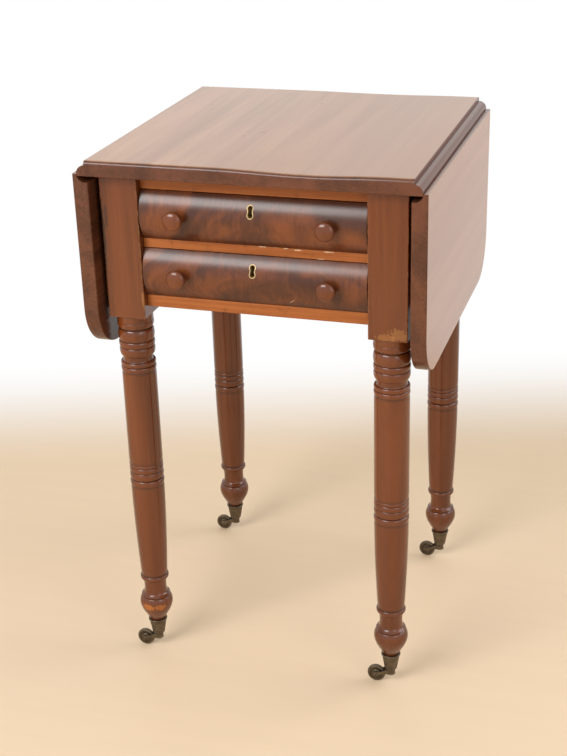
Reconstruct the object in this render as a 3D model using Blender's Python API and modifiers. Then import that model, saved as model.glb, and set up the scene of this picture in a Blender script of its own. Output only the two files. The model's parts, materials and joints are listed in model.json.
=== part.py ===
"""Drop-leaf sewing stand with two cushion-fronted drawers, on turned legs with brass socket casters.

Metres, +Z up. The drawers face -Y, the leaves hang at -X and +X, and the origin is on the floor
under the middle of the top.
"""

import math

import bmesh
import bpy
from mathutils import Matrix, Vector

# Fits
FIT = 0.0003
RUNNING_FIT = 0.0005
CUT_PAST = 0.004

# Top board and the rule joint on its two sides
HEIGHT = 0.730
TOP_THICKNESS = 0.020
TOP_WIDTH = 0.413
TOP_DEPTH = 0.430
TOP_EDGE_ROUND = 0.005
TOP_EDGE_STEPS = 4
JOINT_FILLET = 0.006
JOINT_CLEARANCE = 0.0005
PIN_RISE = 0.0035
ARC_STEPS = 8
SMALL_ARC_STEPS = 5

# Leaves
LEAF_DROP = 0.2395
LEAF_CORNER = 0.060
LEAF_ARRIS = 0.0015
LEAF_ARRIS_STEPS = 2
LEAF_ARRIS_ANGLE = 60
LEAF_LIP_GAP = 0.0005

# Table hinges, two on each leaf
HINGE_WIDTH = 0.038
HINGE_FLAP = 0.034
HINGE_THICKNESS = 0.0016
HINGE_INSET = 0.105
HINGE_RELIEF = 0.0008
BARREL_RADIUS = 0.0026
BARREL_SHARE = 0.010
HINGE_PIN_RADIUS = 0.0012
HINGE_SIDES = 8

# Legs: square posts above
SIDE_OVERHANG = 0.010
FRONT_OVERHANG = 0.01825
POST = 0.050
POST_BELOW_RAIL = 0.015

# Legs: turned lengths, from the post down
LEG_SIDES = 12
NECK_LENGTH = 0.0145
NECK_RADIUS = 0.0212
FILLET_LENGTH = 0.0045
FILLET_RADIUS = 0.0198
GREAT_BEAD_LENGTH = 0.0185
GREAT_BEAD_RADIUS = 0.0224
GREAT_BEAD_STEPS = 5
SMALL_BEAD_LENGTH = 0.009
SMALL_BEAD_RADIUS = 0.0225
SMALL_BEAD_COUNT = 2
QUIRK_RADIUS = 0.0206
COVE_LENGTH = 0.0055
COVE_RADIUS = 0.0187
COVE_STEPS = 4
RING_LENGTH = 0.0062
RING_RADIUS = 0.0225
RING_COUNT = 3
RING_STEPS = 3
RING_GROOVE_RADIUS = 0.0213
SHAFT_RADIUS = 0.0225
SHAFT_SWELL = 0.0006
SHAFT_STEPS = 3
MIDDLE_RINGS_TOP = 0.296
MIDDLE_RING_LENGTH = 0.0095
MIDDLE_RING_RADIUS = 0.0228
MIDDLE_RING_COUNT = 3
LOWER_SHAFT_RADIUS = 0.0221
LOWER_SHAFT_POWER = 1.8
LOWER_SHAFT_STEPS = 4
ANKLE_RADIUS = 0.0181

# Legs: foot, from the caster socket up
VASE_BELOW = 0.030
VASE_BELOW_STEPS = 5
VASE_ABOVE = 0.0155
VASE_ABOVE_STEPS = 3
VASE_RADIUS = 0.0234
VASE_TAPER = 1.3
VASE_SHOULDER = 0.8
FOOT_NECK_LENGTH = 0.0225
FOOT_NECK_RADIUS = 0.0156
FOOT_NECK_STEPS = 2
COLLAR_LENGTH = 0.007
COLLAR_RADIUS = 0.0199
COLLAR_STEPS = 4

# Casters
SOCKET_LENGTH = 0.0244
SOCKET_ABOVE_AXLE = 0.0121
SOCKET_TOP_RADIUS = 0.0126
SOCKET_BOTTOM_RADIUS = 0.0085
SOCKET_RIM = 0.0006
SOCKET_RIM_LENGTH = 0.0025
SOCKET_WALL = 0.0014
SOCKET_FLOOR = 0.0065
SOCKET_SIDES = 12
SWIVEL_RADIUS = 0.0026
SWIVEL_HEAD_RADIUS = 0.0045
SWIVEL_HEAD = 0.0014
HORN_BOSS_RADIUS = 0.0060
HORN_BOSS_RISE = 0.0025
HORN_CHEEK = 0.0022
HORN_END_RADIUS = 0.0043
HORN_END_START = 75
HORN_SHOULDER = 0.004
WHEEL_RADIUS = 0.0125
WHEEL_WIDTH = 0.0080
WHEEL_CLEARANCE = 0.0017
WHEEL_TREAD = 0.0027
WHEEL_TREAD_DROP = 0.0016
WHEEL_HUB_RADIUS = 0.0050
WHEEL_DISH = 0.0010
AXLE_RADIUS = 0.0016
RIVET_RADIUS = 0.0027
RIVET_HEAD = 0.0007
WHEEL_SIDES = 16
PIN_SIDES = 8

# Front rails, from the top down
RAIL_RECESS = 0.0115
RAIL_DEPTH = 0.036
TOP_RAIL_HEIGHT = 0.0195
DIVIDER_HEIGHT = 0.0115
BOTTOM_RAIL_HEIGHT = 0.0155
DRAWER_OPENING = 0.0645
TENON_LENGTH = 0.012
TENON_WIDTH = 0.024
TENON_SHOULDER = 0.0025
RAIL_TAIL_LENGTH = 0.014
RAIL_TAIL_ROOT = 0.018
RAIL_TAIL_TIP = 0.024

# Panels
SIDE_THICKNESS = 0.018
BACK_THICKNESS = 0.016
PANEL_RECESS = 0.003
PANEL_TONGUE = 0.008
PANEL_TONGUE_INSET = 0.016

# Leaf brackets
BRACKET_REACH = 0.085
BRACKET_HEIGHT = 0.0136
BRACKET_END_STEPS = 4
BRACKET_PIN_RADIUS = 0.003
BRACKET_PIN_DEPTH = 0.009
BRACKET_NOTCH_SIDES = 64

# Drawer runners
RUNNER_WIDTH = 0.016
GUIDE_HEIGHT = 0.010

# Drawers
DRAWER_SIDE_GAP = 0.0008
DRAWER_TOP_GAP = 0.0007
DRAWER_END_GAP = 0.004
FRONT_THICKNESS = 0.018
FRONT_STEPS = 10
SIDE_BOARD = 0.009
SIDE_DROP = 0.004
BACK_BOARD = 0.009
BACK_DROP = 0.003
BOTTOM_BOARD = 0.005
BOTTOM_RISE = 0.0075
GROOVE_DEPTH = 0.005
TAIL_LENGTH = 0.011
TAIL_COUNT = 2
TAIL_ROOT_SHARE = 0.52
TAIL_TIP_SHARE = 0.72

# Knobs
KNOB_SPACING = 0.194
KNOB_RADIUS = 0.0132
KNOB_PROJECTION = 0.0181
KNOB_FACE_CROWN = 0.005
KNOB_CROWN_STEPS = 3
KNOB_RIM = 0.0034
KNOB_UNDERCUT = 0.0008
KNOB_WAIST_RADIUS = 0.0058
KNOB_SEAT_RADIUS = 0.0072
KNOB_SEAT_LENGTH = 0.002
KNOB_TENON_RADIUS = 0.004
KNOB_SIDES = 14

# Keyholes and locks
KEYHOLE_DROP = 0.018
ESCUTCHEON_RADIUS = 0.0044
ESCUTCHEON_WAIST = 0.0034
ESCUTCHEON_LENGTH = 0.0172
ESCUTCHEON_WALL = 0.0011
ESCUTCHEON_DEPTH = 0.006
ESCUTCHEON_PROUD = 0.0002
KEYHOLE_HEAD_ARC = (-40, 220)
KEYHOLE_FOOT_ARC = (150, 390)
LOCK_WIDTH = 0.046
LOCK_HEIGHT = 0.034
LOCK_THICKNESS = 0.009
SELVEDGE_WIDTH = 0.060
SELVEDGE_THICKNESS = 0.002
LOCK_TOP_GAP = 0.0004
LOCK_KEY_POCKET = 0.004
BOLT_WIDTH = 0.018
BOLT_THICKNESS = 0.0045
BOLT_HEIGHT = 0.014
BOLT_TRAVEL = 0.006
BOLT_MORTISE_GAP = 0.001

# Places that follow from the sizes above
UNDERSIDE = HEIGHT - TOP_THICKNESS
PIN_X = TOP_WIDTH / 2
PIN_Z = UNDERSIDE + PIN_RISE
JOINT_RADIUS = TOP_THICKNESS - JOINT_FILLET - PIN_RISE
LEAF_OUTER = JOINT_RADIUS + JOINT_FILLET
COVE_SWEEP = JOINT_RADIUS + JOINT_CLEARANCE
POST_OUT_X = TOP_WIDTH / 2 - SIDE_OVERHANG
POST_OUT_Y = TOP_DEPTH / 2 - FRONT_OVERHANG
LEG_X = POST_OUT_X - POST / 2
LEG_Y = POST_OUT_Y - POST / 2
POST_IN_X = POST_OUT_X - POST
POST_IN_Y = POST_OUT_Y - POST
CARCASE_TOP = UNDERSIDE - FIT
RAIL_FRONT = RAIL_RECESS - POST_OUT_Y
RAIL_BACK = RAIL_FRONT + RAIL_DEPTH
RAIL_MIDDLE = RAIL_FRONT + RAIL_DEPTH / 2
UPPER_TOP = UNDERSIDE - TOP_RAIL_HEIGHT
UPPER_BOTTOM = UPPER_TOP - DRAWER_OPENING
LOWER_TOP = UPPER_BOTTOM - DIVIDER_HEIGHT
LOWER_BOTTOM = LOWER_TOP - DRAWER_OPENING
CARCASE_BOTTOM = LOWER_BOTTOM - BOTTOM_RAIL_HEIGHT
POST_BOTTOM = CARCASE_BOTTOM - POST_BELOW_RAIL
SIDE_OUT = POST_OUT_X - PANEL_RECESS
SIDE_IN = SIDE_OUT - SIDE_THICKNESS
SIDE_MIDDLE = SIDE_OUT - SIDE_THICKNESS / 2
BACK_OUT = POST_OUT_Y - PANEL_RECESS
BACK_IN = BACK_OUT - BACK_THICKNESS
DRAWER_HALF = POST_IN_X - DRAWER_SIDE_GAP
DRAWER_INNER = DRAWER_HALF - SIDE_BOARD
FRONT_BACK = RAIL_FRONT + FRONT_THICKNESS
FRONT_HEIGHT = DRAWER_OPENING - FIT - DRAWER_TOP_GAP
SIDE_HEIGHT = FRONT_HEIGHT - SIDE_DROP
DRAWER_REAR = BACK_IN - DRAWER_END_GAP
FACE_RADIUS = (FRONT_HEIGHT ** 2 / 4 + RAIL_RECESS ** 2) / (2 * RAIL_RECESS)
CASTER_TRAIL = HORN_BOSS_RADIUS + WHEEL_CLEARANCE + WHEEL_RADIUS
HORN_BOTTOM = WHEEL_RADIUS + HORN_BOSS_RISE
SOCKET_BOTTOM = WHEEL_RADIUS + SOCKET_ABOVE_AXLE
SOCKET_TOP = SOCKET_BOTTOM + SOCKET_LENGTH
SOCKET_FLOOR_Z = SOCKET_BOTTOM + SOCKET_FLOOR
SWIVEL_TOP = SOCKET_FLOOR_Z + FIT + SWIVEL_HEAD
VASE_Z = SOCKET_TOP + VASE_BELOW
SIDES = (("left", -1), ("right", 1))
ENDS = (("front", -1), ("rear", 1))
LEVELS = (("upper", UPPER_BOTTOM), ("lower", LOWER_BOTTOM))
SNUG = Vector((FIT, FIT, FIT))
SAME_POINT = 1e-6

# Outlines drawn in a plane become solids along the third axis: YZ along X, XZ along Y, XY along Z
PLANES = {
    "X": Matrix(((0, 0, 1), (1, 0, 0), (0, 1, 0))),
    "Y": Matrix(((1, 0, 0), (0, 0, -1), (0, 1, 0))),
    "Z": Matrix(((1, 0, 0), (0, 1, 0), (0, 0, 1))),
}
ALONG = {"X": Vector((1, 0, 0)), "Y": Vector((0, 1, 0)), "Z": Vector((0, 0, 1))}


# Scene and finishes
def clear_scene():
    for old in list(bpy.data.objects):
        bpy.data.objects.remove(old, do_unlink=True)


def new_collection(name):
    group = bpy.data.collections.new(name)
    bpy.context.scene.collection.children.link(group)
    return group


def new_finish(name, colour, roughness, metallic=0.0):
    finish = bpy.data.materials.new(name)
    finish.use_nodes = True
    shader = finish.node_tree.nodes["Principled BSDF"]
    shader.inputs["Base Color"].default_value = (*colour, 1)
    shader.inputs["Roughness"].default_value = roughness
    shader.inputs["Metallic"].default_value = metallic
    return finish


clear_scene()
PARTS = new_collection("sewing_stand")
CUTTERS = new_collection("cutters")
MAHOGANY = new_finish("mahogany", (0.16, 0.045, 0.022), 0.35)
FLAME_VENEER = new_finish("flame_veneer", (0.13, 0.035, 0.018), 0.30)
CHERRY = new_finish("cherry", (0.30, 0.10, 0.03), 0.42)
POPLAR = new_finish("poplar", (0.42, 0.27, 0.13), 0.65)
BRASS = new_finish("brass", (0.70, 0.48, 0.20), 0.35, 1.0)
DARK_BRASS = new_finish("dark_brass", (0.10, 0.075, 0.045), 0.45, 1.0)
IRON = new_finish("iron", (0.08, 0.075, 0.07), 0.55, 1.0)


# Pieces and cutters
def add_piece(name, mesh, origin, finish, parent=None):
    piece = bpy.data.objects.new(name, mesh)
    piece.location = origin
    PARTS.objects.link(piece)
    if finish.name not in mesh.materials:
        mesh.materials.append(finish)
    if parent:
        piece.parent = parent
        piece.location = Vector(origin) - parent.location
    return piece


def add_cutter(name, mesh, origin):
    cutter = bpy.data.objects.new(name, mesh)
    cutter.location = origin
    cutter.hide_render = True
    cutter.display_type = "WIRE"
    CUTTERS.objects.link(cutter)
    return cutter


def add_pivot(name, place):
    pivot = bpy.data.objects.new(name, None)
    pivot.location = place
    PARTS.objects.link(pivot)
    return pivot


def combine(piece, tool, operation):
    step = piece.modifiers.new(f"{operation} {tool.name}", "BOOLEAN")
    step.operation = operation
    step.object = tool
    step.solver = "EXACT"


def cut(piece, *cutters):
    for cutter in cutters:
        combine(piece, cutter, "DIFFERENCE")


def join(piece, *shapes):
    for shape in shapes:
        combine(piece, shape, "UNION")


# Basic solids, with their points measured from the origin they are given
def box_mesh(low, high, origin):
    solid = bmesh.new()
    bmesh.ops.create_cube(solid, size=1.0)
    size = Vector(high) - Vector(low)
    middle = (Vector(high) + Vector(low)) / 2 - Vector(origin)
    bmesh.ops.transform(solid, matrix=Matrix.LocRotScale(middle, None, size), verts=solid.verts)
    mesh = bpy.data.meshes.new("box")
    solid.to_mesh(mesh)
    solid.free()
    return mesh


def plate_mesh(outline, axis, start, end, origin):
    curve = bpy.data.curves.new("outline", "CURVE")
    curve.dimensions = "2D"
    curve.fill_mode = "BOTH"
    curve.extrude = abs(end - start) / 2
    spline = curve.splines.new("POLY")
    spline.points.add(len(outline) - 1)
    for point, (across, up) in zip(spline.points, outline):
        point.co = (across, up, 0, 1)
    spline.use_cyclic_u = True
    holder = bpy.data.objects.new("outline", curve)
    PARTS.objects.link(holder)
    shown = holder.evaluated_get(bpy.context.evaluated_depsgraph_get())
    mesh = bpy.data.meshes.new_from_object(shown)
    middle = ALONG[axis] * (start + end) / 2 - Vector(origin)
    mesh.transform(Matrix.Translation(middle) @ PLANES[axis].to_4x4())
    weld(mesh)
    bpy.data.objects.remove(holder, do_unlink=True)
    bpy.data.curves.remove(curve)
    return mesh


def weld(mesh):
    solid = bmesh.new()
    solid.from_mesh(mesh)
    bmesh.ops.remove_doubles(solid, verts=solid.verts, dist=SAME_POINT)
    bmesh.ops.recalc_face_normals(solid, faces=solid.faces)
    solid.to_mesh(mesh)
    solid.free()


def profile_mesh(profile, closed=False):
    count = len(profile)
    edges = [(i, i + 1) for i in range(count - 1)]
    if closed:
        edges.append((count - 1, 0))
    mesh = bpy.data.meshes.new("profile")
    mesh.from_pydata([(radius, 0, height) for radius, height in profile], edges, [])
    return mesh


def spin(piece, sides):
    turning = piece.modifiers.new("turning", "SCREW")
    turning.axis = "Z"
    turning.steps = sides
    turning.render_steps = sides
    turning.use_merge_vertices = True
    turning.merge_threshold = SAME_POINT
    turning.use_smooth_shade = True


def round_cutter(name, radius, low, high, axis, place, sides=PIN_SIDES):
    return add_cutter(name, plate_mesh(circle(radius, sides), axis, low, high, (0, 0, 0)), place)


# Outlines
def arc(across, up, radius, start, end, steps):
    angles = [math.radians(start + (end - start) * i / steps) for i in range(steps + 1)]
    return [(across + radius * math.cos(a), up + radius * math.sin(a)) for a in angles]


def circle(radius, sides):
    return arc(0, 0, radius, 0, 360 - 360 / sides, sides - 1)


def rectangle(left, bottom, right, top):
    return [(left, bottom), (right, bottom), (right, top), (left, top)]


def flipped(outline):
    return [(-across, up) for across, up in reversed(outline)]


def sided(outline, sign):
    return outline if sign > 0 else flipped(outline)


def moved(outline, across, up):
    return [(a + across, b + up) for a, b in outline]


# The top: an ovolo edge on both sides, and a rounded edge in front and behind
def top_board():
    lowest = -math.degrees(math.asin(PIN_RISE / JOINT_RADIUS))
    right = [(PIN_X, HEIGHT), *arc(PIN_X, PIN_Z, JOINT_RADIUS, 90, lowest, ARC_STEPS)]
    half = TOP_DEPTH / 2
    board = add_piece(
        "top_board",
        plate_mesh(right + flipped(right), "Y", -half, half, (0, 0, UNDERSIDE)),
        (0, 0, UNDERSIDE),
        MAHOGANY,
    )
    corner = HEIGHT - TOP_EDGE_ROUND
    rear = arc(half - TOP_EDGE_ROUND, corner, TOP_EDGE_ROUND, 0, 90, TOP_EDGE_STEPS)
    section = [(half, UNDERSIDE - CUT_PAST), *rear]
    reach = PIN_X + LEAF_OUTER
    edge = add_cutter(
        "top_edge_section",
        plate_mesh(section + flipped(section), "X", -reach, reach, (0, 0, 0)),
        (0, 0, 0),
    )
    combine(board, edge, "INTERSECT")
    return board


# A leaf as it hangs, turning on the hinge pins
def leaf(side, sign):
    pivot = add_pivot(f"leaf_hinge_{side}", (sign * PIN_X, 0, PIN_Z))
    half = TOP_DEPTH / 2
    low = PIN_Z - LEAF_DROP
    front = arc(-half + LEAF_CORNER, low + LEAF_CORNER, LEAF_CORNER, 180, 270, ARC_STEPS)
    rear = arc(half - LEAF_CORNER, low + LEAF_CORNER, LEAF_CORNER, 270, 360, ARC_STEPS)
    outline = [(-half, HEIGHT), *front, *rear, (half, HEIGHT)]
    faces = sorted((sign * (PIN_X - PIN_RISE), sign * (PIN_X + LEAF_OUTER)))
    board = add_piece(
        f"leaf_{side}",
        plate_mesh(outline, "X", *faces, pivot.location),
        pivot.location,
        MAHOGANY,
        pivot,
    )
    arris = board.modifiers.new("arris", "BEVEL")
    arris.width = LEAF_ARRIS
    arris.segments = LEAF_ARRIS_STEPS
    arris.limit_method = "ANGLE"
    arris.angle_limit = math.radians(LEAF_ARRIS_ANGLE)
    cut(board, cove_cutter(side, sign))
    return board, pivot


def cove_cutter(side, sign):
    lip = -math.degrees(math.asin(LEAF_LIP_GAP / COVE_SWEEP))
    outside = LEAF_OUTER + CUT_PAST
    inside = -PIN_RISE - CUT_PAST
    above = HEIGHT - PIN_Z + CUT_PAST
    outline = [
        (inside, above),
        (inside, -COVE_SWEEP),
        *arc(0, 0, COVE_SWEEP, -90, lip, ARC_STEPS),
        (outside, -LEAF_LIP_GAP),
        (outside, above),
    ]
    reach = TOP_DEPTH / 2 + CUT_PAST
    mesh = plate_mesh(sided(outline, sign), "Y", -reach, reach, (0, 0, 0))
    return add_cutter(f"cove_{side}", mesh, (sign * PIN_X, 0, PIN_Z))


# Table hinges: the flap in the top carries the pin, and the flap in the leaf turns on it
def hinge(side, sign, end, y, board, leaf_board, pivot):
    place = Vector((sign * PIN_X, y, PIN_Z))
    half = HINGE_WIDTH / 2
    middle = half - BARREL_SHARE
    bottom = -PIN_RISE
    plate_top = bottom + HINGE_THICKNESS
    start = max(PIN_RISE, BARREL_RADIUS) + HINGE_RELIEF
    barrel = circle(BARREL_RADIUS, HINGE_SIDES)
    pin = circle(HINGE_PIN_RADIUS, HINGE_SIDES)
    name = f"{end}_{side}"

    # Flap in the underside of the top, with its two end knuckles and the pin
    flap = sided(rectangle(-HINGE_FLAP, bottom, -start, plate_top), sign)
    tongue = sided(rectangle(-HINGE_FLAP, bottom, 0, plate_top), sign)
    fixed = add_piece(
        f"hinge_top_flap_{name}",
        plate_mesh(flap, "Y", -half, half, (0, 0, 0)),
        place,
        IRON,
    )
    for low, high in ((-half, -middle), (middle, half)):
        knuckle = plate_mesh(barrel, "Y", low, high, (0, 0, 0))
        join(fixed, add_cutter(f"fixed_knuckle_{name}", knuckle, place))
        strap = plate_mesh(tongue, "Y", low, high, (0, 0, 0))
        join(fixed, add_cutter(f"fixed_strap_{name}", strap, place))
    wire = plate_mesh(pin, "Y", -half + FIT, half - FIT, (0, 0, 0))
    join(fixed, add_cutter(f"hinge_pin_{name}", wire, place))

    # Flap in the inner face of the leaf, with its middle knuckle
    inner = sided(rectangle(bottom, -HINGE_FLAP, plate_top, -start), sign)
    neck = sided(rectangle(bottom, -HINGE_FLAP, plate_top, 0), sign)
    moving = add_piece(
        f"hinge_leaf_flap_{name}",
        plate_mesh(inner, "Y", -half, half, (0, 0, 0)),
        place,
        IRON,
        pivot,
    )
    ends = (FIT - middle, middle - FIT)
    for label, shape in (("leaf_strap", neck), ("leaf_knuckle", barrel)):
        mesh = plate_mesh(shape, "Y", *ends, (0, 0, 0))
        join(moving, add_cutter(f"{label}_{name}", mesh, place))
    bore = HINGE_PIN_RADIUS + RUNNING_FIT
    cut(moving, round_cutter(f"knuckle_bore_{name}", bore, -half, half, "Y", place))

    # Pockets in the top for the flap, the barrel and the sweep of the leaf's flap
    wide = half + FIT
    pocket = rectangle(-HINGE_FLAP - FIT, bottom - CUT_PAST, 0, plate_top + FIT)
    groove = BARREL_RADIUS + RUNNING_FIT
    ceiling = plate_top + RUNNING_FIT
    left = -max(groove, PIN_RISE + RUNNING_FIT)
    first = math.degrees(math.asin(ceiling / groove))
    last = 180 - math.degrees(math.asin(RUNNING_FIT / groove))
    sweep = [
        (left, bottom - CUT_PAST),
        (LEAF_OUTER, bottom - CUT_PAST),
        (LEAF_OUTER, ceiling),
        *arc(0, 0, groove, first, last, SMALL_ARC_STEPS),
        (left, RUNNING_FIT),
    ]
    for label, shape in (("flap_pocket", pocket), ("barrel_pocket", sweep)):
        mesh = plate_mesh(sided(shape, sign), "Y", -wide, wide, (0, 0, 0))
        cut(board, add_cutter(f"{label}_{name}", mesh, place))

    # Pocket in the leaf for its flap
    recess = rectangle(bottom - CUT_PAST, -HINGE_FLAP - FIT, plate_top + FIT, 0)
    mesh = plate_mesh(sided(recess, sign), "Y", -wide, wide, (0, 0, 0))
    cut(leaf_board, add_cutter(f"leaf_pocket_{name}", mesh, place))


# Turned lengths of a leg, each listed from the top down as (radius, height)
def bead(top, length, edge, middle, steps):
    points = []
    for i in range(1, steps):
        angle = math.pi * i / steps
        height = top - length * (1 - math.cos(angle)) / 2
        points.append((edge + (middle - edge) * math.sin(angle), height))
    return points


def quirk_row(top, length, count, groove, crown):
    points = []
    for i in range(count):
        start = top - i * length
        points += [(groove, start), *bead(start, length, groove, crown, RING_STEPS)]
    points.append((groove, top - count * length))
    return points


def shaft(top, bottom, radius_top, radius_bottom, swell, power, steps):
    points = []
    for i in range(steps + 1):
        share = i / steps
        radius = radius_top + (radius_bottom - radius_top) * share ** power
        points.append((radius + swell * math.sin(math.pi * share), top + (bottom - top) * share))
    return points


def socket_radius(height):
    share = (height - SOCKET_BOTTOM) / (SOCKET_TOP - SOCKET_BOTTOM)
    return SOCKET_BOTTOM_RADIUS + (SOCKET_TOP_RADIUS - SOCKET_BOTTOM_RADIUS) * share


def foot_profile():
    collar_top = VASE_Z + VASE_ABOVE + FOOT_NECK_LENGTH + COLLAR_LENGTH
    neck_top = collar_top - COLLAR_LENGTH
    neck_low = VASE_Z + VASE_ABOVE
    plug = socket_radius(SOCKET_TOP) - SOCKET_WALL - FIT
    points = [(ANKLE_RADIUS, collar_top)]
    points += bead(collar_top, COLLAR_LENGTH, ANKLE_RADIUS, COLLAR_RADIUS, COLLAR_STEPS)
    points += shaft(
        neck_top, neck_low, ANKLE_RADIUS, FOOT_NECK_RADIUS, -SHAFT_SWELL, 1, FOOT_NECK_STEPS
    )
    for i in reversed(range(VASE_ABOVE_STEPS)):
        share = i / VASE_ABOVE_STEPS
        fullness = math.cos(math.pi / 2 * share) ** VASE_SHOULDER
        radius = FOOT_NECK_RADIUS + (VASE_RADIUS - FOOT_NECK_RADIUS) * fullness
        points.append((radius, VASE_Z + VASE_ABOVE * share))
    for i in range(1, VASE_BELOW_STEPS):
        share = i / VASE_BELOW_STEPS
        fullness = math.cos(math.pi / 2 * share) ** VASE_TAPER
        points.append((plug + (VASE_RADIUS - plug) * fullness, VASE_Z - VASE_BELOW * share))
    points.append((plug, SOCKET_TOP))
    low = SWIVEL_TOP + FIT
    points.append((socket_radius(low) - SOCKET_WALL - FIT, low))
    points.append((0, low))
    return points, collar_top


def leg_profile():
    at = POST_BOTTOM
    points = [(0, at + NECK_LENGTH), (NECK_RADIUS, at + NECK_LENGTH)]
    at -= NECK_LENGTH
    points += [(NECK_RADIUS, at), (FILLET_RADIUS, at)]
    at -= FILLET_LENGTH
    points.append((FILLET_RADIUS, at))
    points += bead(at, GREAT_BEAD_LENGTH, FILLET_RADIUS, GREAT_BEAD_RADIUS, GREAT_BEAD_STEPS)
    at -= GREAT_BEAD_LENGTH
    points += quirk_row(at, SMALL_BEAD_LENGTH, SMALL_BEAD_COUNT, QUIRK_RADIUS, SMALL_BEAD_RADIUS)
    at -= SMALL_BEAD_COUNT * SMALL_BEAD_LENGTH
    points += bead(at, COVE_LENGTH, QUIRK_RADIUS, COVE_RADIUS, COVE_STEPS)
    at -= COVE_LENGTH
    points += quirk_row(at, RING_LENGTH, RING_COUNT, RING_GROOVE_RADIUS, RING_RADIUS)
    at -= RING_COUNT * RING_LENGTH
    upper = shaft(at, MIDDLE_RINGS_TOP, SHAFT_RADIUS, SHAFT_RADIUS, SHAFT_SWELL, 1, SHAFT_STEPS)
    points += upper[1:-1]
    points += quirk_row(
        MIDDLE_RINGS_TOP, MIDDLE_RING_LENGTH, MIDDLE_RING_COUNT, RING_GROOVE_RADIUS, MIDDLE_RING_RADIUS
    )
    at = MIDDLE_RINGS_TOP - MIDDLE_RING_COUNT * MIDDLE_RING_LENGTH
    foot, ankle = foot_profile()
    lower = shaft(
        at, ankle, LOWER_SHAFT_RADIUS, ANKLE_RADIUS, 0, LOWER_SHAFT_POWER, LOWER_SHAFT_STEPS
    )
    return points + lower[1:-1] + foot


def leg(end, side, x_sign, y_sign, mortises):
    origin = Vector((x_sign * LEG_X, y_sign * LEG_Y, 0))
    piece = add_piece(f"leg_{end}_{side}", profile_mesh(leg_profile()), origin, MAHOGANY)
    spin(piece, LEG_SIDES)
    half = Vector((POST / 2, POST / 2, 0))
    low = origin - half + Vector((0, 0, POST_BOTTOM))
    high = origin + half + Vector((0, 0, CARCASE_TOP))
    join(piece, add_cutter(f"post_{end}_{side}", box_mesh(low, high, origin), origin))
    cut(piece, *mortises)


# A board with a tenon or tongue at each end, and the cutter for the mortises that hold it
def tenoned(name, body, bar, finish):
    piece = add_piece(name, box_mesh(*body, (0, 0, 0)), (0, 0, 0), finish)
    join(piece, add_cutter(f"{name}_tenons", box_mesh(*bar, (0, 0, 0)), (0, 0, 0)))
    slot = box_mesh(Vector(bar[0]) - SNUG, Vector(bar[1]) + SNUG, (0, 0, 0))
    return piece, add_cutter(f"{name}_mortises", slot, (0, 0, 0))


def front_rail(name, bottom, height):
    shoulder = POST_IN_X - FIT
    reach = POST_IN_X + TENON_LENGTH - FIT
    top = bottom + height
    body = (-shoulder, RAIL_FRONT, bottom), (shoulder, RAIL_BACK, top)
    bar = (
        (-reach, RAIL_MIDDLE - TENON_WIDTH / 2, bottom + TENON_SHOULDER),
        (reach, RAIL_MIDDLE + TENON_WIDTH / 2, top - TENON_SHOULDER),
    )
    return tenoned(name, body, bar, CHERRY)


def panel(name, low, high, axis, finish):
    body_low, body_high = Vector(low), Vector(high)
    bar_low, bar_high = Vector(low), Vector(high)
    thin = 0 if axis == 1 else 1
    middle = (body_low[thin] + body_high[thin]) / 2
    bar_low[thin] = middle - PANEL_TONGUE / 2
    bar_high[thin] = middle + PANEL_TONGUE / 2
    bar_low[axis] -= TENON_LENGTH
    bar_high[axis] += TENON_LENGTH
    bar_low.z += PANEL_TONGUE_INSET
    bar_high.z -= PANEL_TONGUE_INSET
    return tenoned(name, (body_low, body_high), (bar_low, bar_high), finish)


# The top rail is dovetailed into the tops of the front posts
def top_rail():
    def tail_outline(grow):
        shoulder = POST_IN_X - FIT
        root = RAIL_TAIL_ROOT / 2 + grow
        tip = RAIL_TAIL_TIP / 2 + grow
        end = shoulder + RAIL_TAIL_LENGTH + grow
        right = [(shoulder, -root), (end, -tip), (end, tip), (shoulder, root)]
        return moved(right + flipped(right), 0, RAIL_MIDDLE)

    half = POST_IN_X - FIT
    body = (-half, RAIL_FRONT, UPPER_TOP), (half, RAIL_BACK, CARCASE_TOP)
    rail = add_piece("front_top_rail", box_mesh(*body, (0, 0, 0)), (0, 0, 0), CHERRY)
    tails = plate_mesh(tail_outline(0), "Z", UPPER_TOP, CARCASE_TOP, (0, 0, 0))
    join(rail, add_cutter("top_rail_tails", tails, (0, 0, 0)))
    housing = plate_mesh(tail_outline(FIT), "Z", UPPER_TOP - FIT, UNDERSIDE + CUT_PAST, (0, 0, 0))
    return rail, add_cutter("top_rail_housings", housing, (0, 0, 0))


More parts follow.
